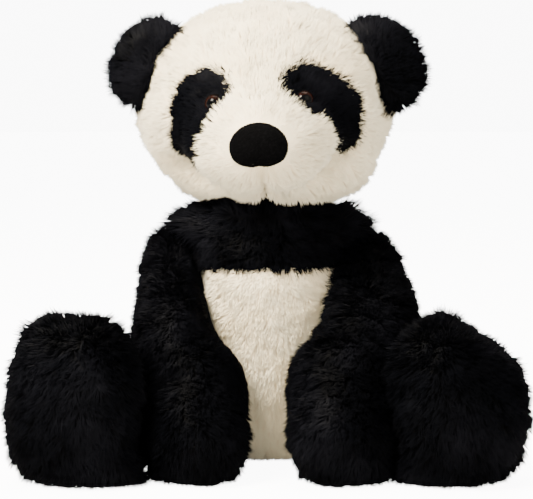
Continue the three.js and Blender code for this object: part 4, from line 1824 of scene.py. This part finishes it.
@dataclass
class Torso:
    """The torso: a black yoke over white belly and back panels, on a flat seat, with its tail and label."""

    arms: list[Arm]
    legs: list[Leg]
    middle_y: float = 7.0
    depth_share: float = 0.93
    profile: tuple[tuple[float, float], ...] = (
        (36.0, 0.0), (47.0, 4.0), (56.0, 20.0), (59.0, 46.0),
        (55.5, 80.0), (51.0, 104.0), (44.0, 126.0), (31.0, 143.0),
    )
    shoulders: Taper = Taper((-37.0, 6.0, 129.0), 20.5, (41.5, 6.0, 126.5), 20.5)
    neck: Ball = Ball((0.0, 5.0, 149.0), (33.0, 33.0, 33.0))
    yoke_bottom: float = 114.5
    seat_top: float = 3.2
    seam_y: float = 4.0
    tail: Ball = Ball((0.0, 66.0, 44.0), (15.0, 13.0, 14.0))
    bag: Ball = Ball((0.0, 31.0, 15.0), (24.0, 15.0, 11.5))
    root: float = 3.4
    voxel: float = 2.3

    def surface(
        self, inset: float, voxel: float, rounds: int, stuffing: Stuffing | None = None
    ) -> bmesh.types.BMesh:
        """The torso's surface, shrunk by inset, hollowed where the limbs lie and swing.

        Args:
            inset: how much the torso is shrunk by.
            voxel: the side of the surface's faces.
            rounds: how often it is smoothed.
            stuffing: blows the surface out, if given.

        Returns:
            The closed surface.
        """
        rough = bmesh.new()
        outline = [(radius - inset, max(z, inset)) for radius, z in self.profile]
        points = [(0.0, inset), *outline, (0.0, self.profile[-1][1] + 2.0)]
        verts = [rough.verts.new((radius, 0.0, z)) for radius, z in points]
        edges = [rough.edges.new(pair) for pair in zip(verts, verts[1:])]
        bmesh.ops.spin(
            rough, geom=verts + edges, axis=(0, 0, 1), cent=(0, 0, 0), angle=2 * math.pi,
            steps=64, use_merge=True, use_duplicate=False,
        )
        bmesh.ops.remove_doubles(rough, verts=rough.verts[:], dist=0.001)
        bmesh.ops.recalc_face_normals(rough, faces=rough.faces[:])
        flatter = Matrix.Diagonal((1.0, self.depth_share, 1.0, 1.0))
        stretch = Matrix.Translation((0, self.middle_y, 0)) @ flatter
        bmesh.ops.transform(rough, verts=rough.verts[:], matrix=stretch)
        self.shoulders.add_to(rough, inset)
        self.neck.add_to(rough, inset)
        made = remeshed(stuffing.swell(rough) if stuffing else rough, voxel)
        smoothed(made, rounds)
        places = coordinates(made)
        places[:, 2] = np.maximum(places[:, 2], inset)
        lumps = waves(places, 50.0, 19) * 0.9 * ramp(places[:, 2], 6, 20)
        places = places + vertex_normals(made) * lumps[:, None]
        move_to(made, self.hollowed(places))
        smoothed(made, 2)
        return made

    def hollowed(self, places: np.ndarray) -> np.ndarray:
        """Presses places in towards the torso's middle until every limb is clear of them as it swings.

        Args:
            places: places on the torso's skin.

        Returns:
            The places, pressed in.
        """
        rooms = []
        for arm in self.arms:
            for step in range(5):
                degrees = arm.raise_degrees * step / 4
                raised = arm.upper.turned(arm.shoulder, (-1, 0, 0), degrees)
                rooms.append((raised, -1.0 - 0.05 * degrees))
            rooms.append((arm.lower, 1.0))
        for leg in self.legs:
            for step in range(5):
                lowered = leg.tube.turned(leg.hip, (1, 0, 0), leg.swing_degrees * step / 4)
                rooms.append((lowered, 0.5))
        level = np.zeros(len(places))
        inward = unit(np.stack([-places[:, 0], self.middle_y - places[:, 1], level], axis=1))
        moved = places.copy()
        for _ in range(24):
            depth = np.max([taper.depth(moved, margin) for taper, margin in rooms], axis=0)
            inside = depth > 0.05
            if not inside.any():
                break
            moved[inside] += inward[inside] * depth[inside, None] * 0.7
        return moved

    def flow(self, roots: np.ndarray, normals: np.ndarray) -> np.ndarray:
        """The pile hangs, and at the neck stands up and out under the chin.

        Args:
            roots: where the hairs leave the skin.
            normals: the skin's normals there; not used.

        Returns:
            The way that each hair is combed.
        """
        out = unit(np.stack([roots[:, 0], roots[:, 1] - 5.0, np.zeros(len(roots))], axis=1))
        neck = ramp(roots[:, 2], 136.0, 150.0)[:, None]
        aside = np.sign(roots[:, 0]) * ramp(np.abs(roots[:, 0]), 30.0, 50.0)
        aside = aside * ramp(roots[:, 2], 106.0, 116.0)
        hanging = np.stack([1.3 * aside, np.zeros(len(roots)), -np.ones(len(roots))], axis=1)
        return hanging * (1 - neck) + (out + np.array([0.0, 0.0, 0.5])) * neck + 0.15 * out

    def neck_trim(self, roots: np.ndarray, normals: np.ndarray) -> np.ndarray:
        """The pile is long round the neck and short inside the head's hollow.

        Args:
            roots: where the hairs leave the skin.
            normals: the skin's normals there; not used.

        Returns:
            Each hair's length, as a share of the full length.
        """
        radius = np.hypot(roots[:, 0], roots[:, 1] - 5.0)
        collar = 1.0 + 0.25 * np.exp(-(((roots[:, 2] - 146.0) / 7.0) ** 2)) * ramp(radius, 20.0, 28.0)
        bottom = self.yoke_bottom
        above = 0.6 + 0.4 * ramp(roots[:, 2], bottom, bottom + 8.0)
        below = ramp(-roots[:, 2], -bottom, 10.0 - bottom)
        edge = np.where(roots[:, 2] > bottom, above, below)
        shoulder = 1.0 + 0.4 * ramp(np.abs(roots[:, 0]), 38.0, 52.0) * ramp(roots[:, 2], 106.0, 116.0)
        hidden = 0.15 + 0.85 * ramp(-roots[:, 2], -163.0, -152.0)
        return collar * shoulder * hidden * (0.4 + 0.6 * edge)

    def build(self) -> None:
        """Builds every piece of the torso."""
        skin = self.surface(self.root, self.voxel, rounds=10, stuffing=Stuffing())
        middles = face_middles(skin)
        x, y, z = middles.T
        seat = z < self.root + 1.2
        yoke = z > self.yoke_bottom
        sides = ~seat & ~yoke
        back = sides & (y >= self.seam_y)
        white = Pile(length=7.0, lean=46.0, tuft=6.0, gather=0.28, ragged=0.26, stray=0.13, seed=61)
        black = Pile(length=8.8, lean=44.0, tuft=7.0, gather=0.6, ragged=0.42, stray=0.11, seed=63)
        short = Pile(length=5.0, lean=75.0, tuft=6.0, gather=0.3, ragged=0.2, stray=0.1, seed=65)
        panels = (
            ("yoke", "yoke_skin", yoke, Slot.BLACK, black),
            ("belly", "belly_skin", sides & (y < self.seam_y), Slot.WHITE, white),
            ("back_left", "back_skin_left", back & (x >= 0), Slot.WHITE, white),
            ("back_right", "back_skin_right", back & (x < 0), Slot.WHITE, white),
            ("seat", "seat_skin", seat, Slot.WHITE, short),
        )
        for name, node, wanted, dye, pile in panels:
            mesh = FurPanel(pile, self.flow, self.neck_trim).mesh(kept_faces(skin, wanted), name)
            finished(f"{name}_pile", mesh, dye, "torso", [node])
        skin.free()
        self._filling()
        self._tail(white)
        self._bag()
        self._label()

    def _filling(self) -> None:
        """Builds the fibre inside the torso, pressed up over the pellet bag."""
        surface = self.surface(self.root + 3.4, 4.5, rounds=5)
        places = coordinates(surface)
        centre, radii = np.array(self.bag.centre), np.array(self.bag.radii) + 1.5
        scaled = (places - centre) / radii
        inside = (scaled**2).sum(1) < 1
        flat = np.clip((scaled[:, :2] ** 2).sum(1), 0, 1)
        places[:, 2] = np.where(inside, centre[2] + radii[2] * np.sqrt(1 - flat), places[:, 2])
        move_to(surface, places)
        mesh = Filling().mesh(surface, "torso_fibre")
        finished("torso_fibre", mesh, Slot.FIBRE, "torso", ["torso_filling"])

    def _tail(self, pile: Pile) -> None:
        """Builds the short tail.

        Args:
            pile: how its pile stands.
        """
        skin = united([self.tail], 3.0, 2.0, rounds=3)
        panel = FurPanel(pile, lambda roots, normals: roots - np.array([0.0, 50.0, 50.0]))
        finished("tail_pile", panel.mesh(skin, "tail"), Slot.WHITE, "torso", ["tail"])

    def _bag(self) -> None:
        """Builds the muslin bag, lumpy with pellets."""
        surface = united([self.bag], 0.5, 2.2, rounds=2)
        places = coordinates(surface)
        normals = vertex_normals(surface)
        middles, _ = tufts(places, 3.6, 71)
        bumps = 0.7 - np.minimum(np.linalg.norm(places - middles, axis=1) / 3.0, 1.0)
        places += normals * (bumps * 0.7)[:, None]
        places[:, 2] = np.maximum(places[:, 2], 6.2)
        move_to(surface, places)
        mesh = smooth_mesh(surface, "pellet_bag")
        finished("pellet_bag_muslin", mesh, Slot.MUSLIN, "torso", ["pellet_bag"])

    def _label(self, width: float = 14.0, reach: float = 15.0, thick: float = 0.16) -> None:
        """Builds the blank care label: a folded satin ribbon sewn into the closing seam.

        Args:
            width: the ribbon's width.
            reach: how far it stands out of the seam.
            thick: the ribbon's thickness.
        """
        mesh = bmesh.new()
        bmesh.ops.create_grid(mesh, x_segments=14, y_segments=60, size=0.5)
        places = coordinates(mesh)
        across = places[:, 0] * width
        run = (places[:, 1] + 0.5) * 2 * reach
        share = np.abs(run - reach)
        half = np.minimum(share / 1.2, 1.0)
        gap = np.sign(run - reach) * 0.55 * np.sqrt(np.clip(1 - (1 - half) ** 2, 0, 1))
        x = gap + 0.8 * np.sin((reach - share) * 0.22)
        y = 78.5 - share - 0.3 * np.cos(across * 0.3)
        move_to(mesh, np.stack([x, y, 92.0 + across], axis=1))
        bmesh.ops.recalc_face_normals(mesh, faces=mesh.faces[:])
        bmesh.ops.solidify(mesh, geom=mesh.faces[:], thickness=thick)
        bmesh.ops.recalc_face_normals(mesh, faces=mesh.faces[:])
        ribbon = smooth_mesh(mesh, "care_label")
        label = finished("care_label_ribbon", ribbon, Slot.SATIN, "torso", ["care_label"])


@dataclass
class NeckThread:
    """The ladder stitching between the head and the torso: a run of short slanted stitches in a ring."""

    centre: Point = (0.0, 5.0, 149.0)
    radius: float = 21.5
    distance: float = 34.75
    stitches: int = 44

    def build(self) -> None:
        """Builds the ring of stitches."""
        height = math.sqrt(self.distance**2 - self.radius**2)
        mesh = bmesh.new()
        section = bmesh.ops.create_circle(mesh, cap_ends=False, segments=8, radius=0.42)["verts"]
        stand = Matrix.Translation((self.radius, 0, 0)) @ Matrix.Rotation(math.radians(90), 4, "X")
        bmesh.ops.transform(mesh, verts=section, matrix=stand)
        bmesh.ops.spin(
            mesh, geom=mesh.verts[:] + mesh.edges[:], axis=(0, 0, 1), cent=(0, 0, 0), angle=2 * math.pi,
            steps=self.stitches * 6, use_merge=True, use_duplicate=False,
        )
        bmesh.ops.remove_doubles(mesh, verts=mesh.verts[:], dist=0.001)
        bmesh.ops.recalc_face_normals(mesh, faces=mesh.faces[:])
        places = coordinates(mesh)
        angle = np.arctan2(places[:, 1], places[:, 0])
        swell = 0.75 + 0.35 * np.abs(np.sin(angle * self.stitches / 2))
        across, ahead = np.cos(angle) * self.radius, np.sin(angle) * self.radius
        ring = np.stack([across, ahead, np.zeros(len(angle))], axis=1)
        middle = np.array([*self.centre[:2], self.centre[2] + height])
        move_to(mesh, ring + (places - ring) * swell[:, None] + middle)
        thread = smooth_mesh(mesh, "neck_thread")
        finished("neck_thread", thread, Slot.THREAD, "neck", ["neck_stitching"])


# ---------------------------------------------------------------- studio


@dataclass
class Studio:
    """A pale floor, a soft sky and large soft lights, and the camera. Distances are metres."""

    distance: float = 1.3
    elevation: float = 5.0
    target_height: float = 0.123
    lens: float = 145.2
    sky_light: float = 1.15
    lamp_tint: Point = (1.0, 0.915, 0.77)
    backdrop: float = 10.0

    def build(self) -> None:
        """Builds the studio."""
        self._floor()
        self._sky()
        self._light("key", (-0.78, -0.80, 1.25), 0.6, 115.0)
        self._light("fill", (0.95, -1.0, 0.85), 1.1, 12.0)
        self._light("top", (0.1, 0.35, 1.5), 1.1, 44.0)
        self._light("glint", (-0.30, -1.10, 0.62), 0.06, 1.6)
        self._camera()

    def _floor(self) -> None:
        """Builds the floor."""
        mesh = bmesh.new()
        bmesh.ops.create_circle(mesh, cap_ends=True, segments=64, radius=6.0)
        data = bpy.data.meshes.new("floor")
        mesh.to_mesh(data)
        mesh.free()
        made, nodes, shader = new_material("pale_floor")
        place = nodes.add("ShaderNodeTexCoord").outputs["Object"]
        cloud = nodes.add("ShaderNodeTexNoise", Vector=place, Scale=3.0).outputs["Fac"]
        tone = nodes.mix(cloud, (0.66, 0.66, 0.66, 1), (0.70, 0.70, 0.70, 1))
        made.node_tree.links.new(tone, shader.inputs["Base Color"])
        shader.inputs["Emission Color"].default_value = (1, 1, 1, 1)
        self._glow(nodes, shader.inputs["Emission Strength"], 0.2, 10.0)
        shader.inputs["Roughness"].default_value = 0.9
        shader.inputs["Specular IOR Level"].default_value = 0.1
        data.materials.append(made)
        floor = bpy.data.objects.new("floor", data)
        bpy.context.scene.collection.objects.link(floor)

    def _glow(self, nodes: Nodes, strength: bpy.types.NodeSocket, cast: float, seen: float) -> None:
        """Gives a surface one strength where it is seen, and another for the light that it casts.

        Args:
            nodes: the surface's node tree.
            strength: the socket that sets its strength.
            cast: the strength of the light that it casts.
            seen: the strength where it is seen.
        """
        direct = nodes.add("ShaderNodeLightPath").outputs["Is Camera Ray"]
        share = nodes.add("ShaderNodeMapRange", Value=direct, To_Min=cast, To_Max=seen)
        nodes.tree.links.new(share.outputs["Result"], strength)

    def _sky(self) -> None:
        """Sets the soft white surroundings."""
        world = bpy.data.worlds.new("studio")
        world.use_nodes = True
        background = world.node_tree.nodes["Background"]
        background.inputs["Color"].default_value = (1.0, 1.0, 1.0, 1)
        self._glow(Nodes(world.node_tree), background.inputs["Strength"], self.sky_light, self.backdrop)
        bpy.context.scene.world = world

    def _light(self, name: str, place: Point, size: float, power: float) -> None:
        """Adds a square soft light that points at the toy.

        Args:
            name: the light's name.
            place: where it stands.
            size: the length of its side.
            power: its power in watts.
        """
        data = bpy.data.lights.new(name, "AREA")
        data.size = size
        data.energy = power
        data.color = self.lamp_tint
        made = bpy.data.objects.new(name, data)
        made.location = place
        aim = Vector((0, 0, self.target_height)) - Vector(place)
        made.rotation_euler = aim.to_track_quat("-Z", "Y").to_euler()
        bpy.context.scene.collection.objects.link(made)

    def _camera(self) -> None:
        """Places the camera in front of the toy, a little above it."""
        data = bpy.data.cameras.new("camera")
        data.lens = self.lens
        data.sensor_width = 36.0
        camera = bpy.data.objects.new("camera", data)
        angle = math.radians(self.elevation)
        back, up = self.distance * math.cos(angle), self.distance * math.sin(angle)
        camera.location = (0.0, -back, self.target_height + up)
        camera.rotation_euler = (math.radians(90.0) - angle, 0.0, 0.0)
        bpy.context.scene.collection.objects.link(camera)
        bpy.context.scene.camera = camera


def main() -> None:
    """Builds the toy in its studio."""
    logging.basicConfig(level=logging.INFO, format="%(name)s: %(message)s")
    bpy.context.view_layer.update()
    Studio().build()
    head = Head()
    head.build()
    Ear(head, Side.LEFT, outward=4.0, ahead=2.0, rise=-2.0, radii=(25.0, 8.5, 30.0)).build()
    Ear(head, Side.RIGHT, outward=2.0, ahead=4.0, rise=5.5).build()
    arms = [
        Arm(
            Side.RIGHT,
            shoulder=(-54.0, 4.0, 113.0),
            elbow=(-51.0, -47.0, 78.0),
            hand=(-37.0, -93.0, 24.8),
            radii=(19.0, 26.0, 26.0),
            inner_press=0.8,
        ),
        Arm(
            Side.LEFT,
            shoulder=(60.0, 4.0, 111.0),
            elbow=(61.0, -46.0, 79.0),
            hand=(41.0, -95.0, 26.6),
            radii=(19.5, 27.0, 28.0),
            inner_press=0.0,
            forearm=9.5,
        ),
    ]
    legs = [
        Leg(
            Side.RIGHT,
            hip=(-45.0, 3.0, 23.0),
            ankle=(-103.0, -64.0, 23.0),
            foot=(-108.0, -97.0, 46.0),
            foot_radii=(36.5, 29.0, 47.0),
            yaw=-20.0,
        ),
        Leg(
            Side.LEFT,
            hip=(45.0, 3.0, 23.0),
            ankle=(104.0, -64.0, 23.0),
            foot=(108.5, -97.0, 46.0),
            foot_radii=(37.5, 29.0, 47.0),
            yaw=24.0,
            roll=-9.0,
            droop=19.0,
        ),
    ]
    for limb in arms + legs:
        limb.build()
    Torso(arms, legs).build()
    NeckThread().build()


if __name__ == "__main__":
    main()
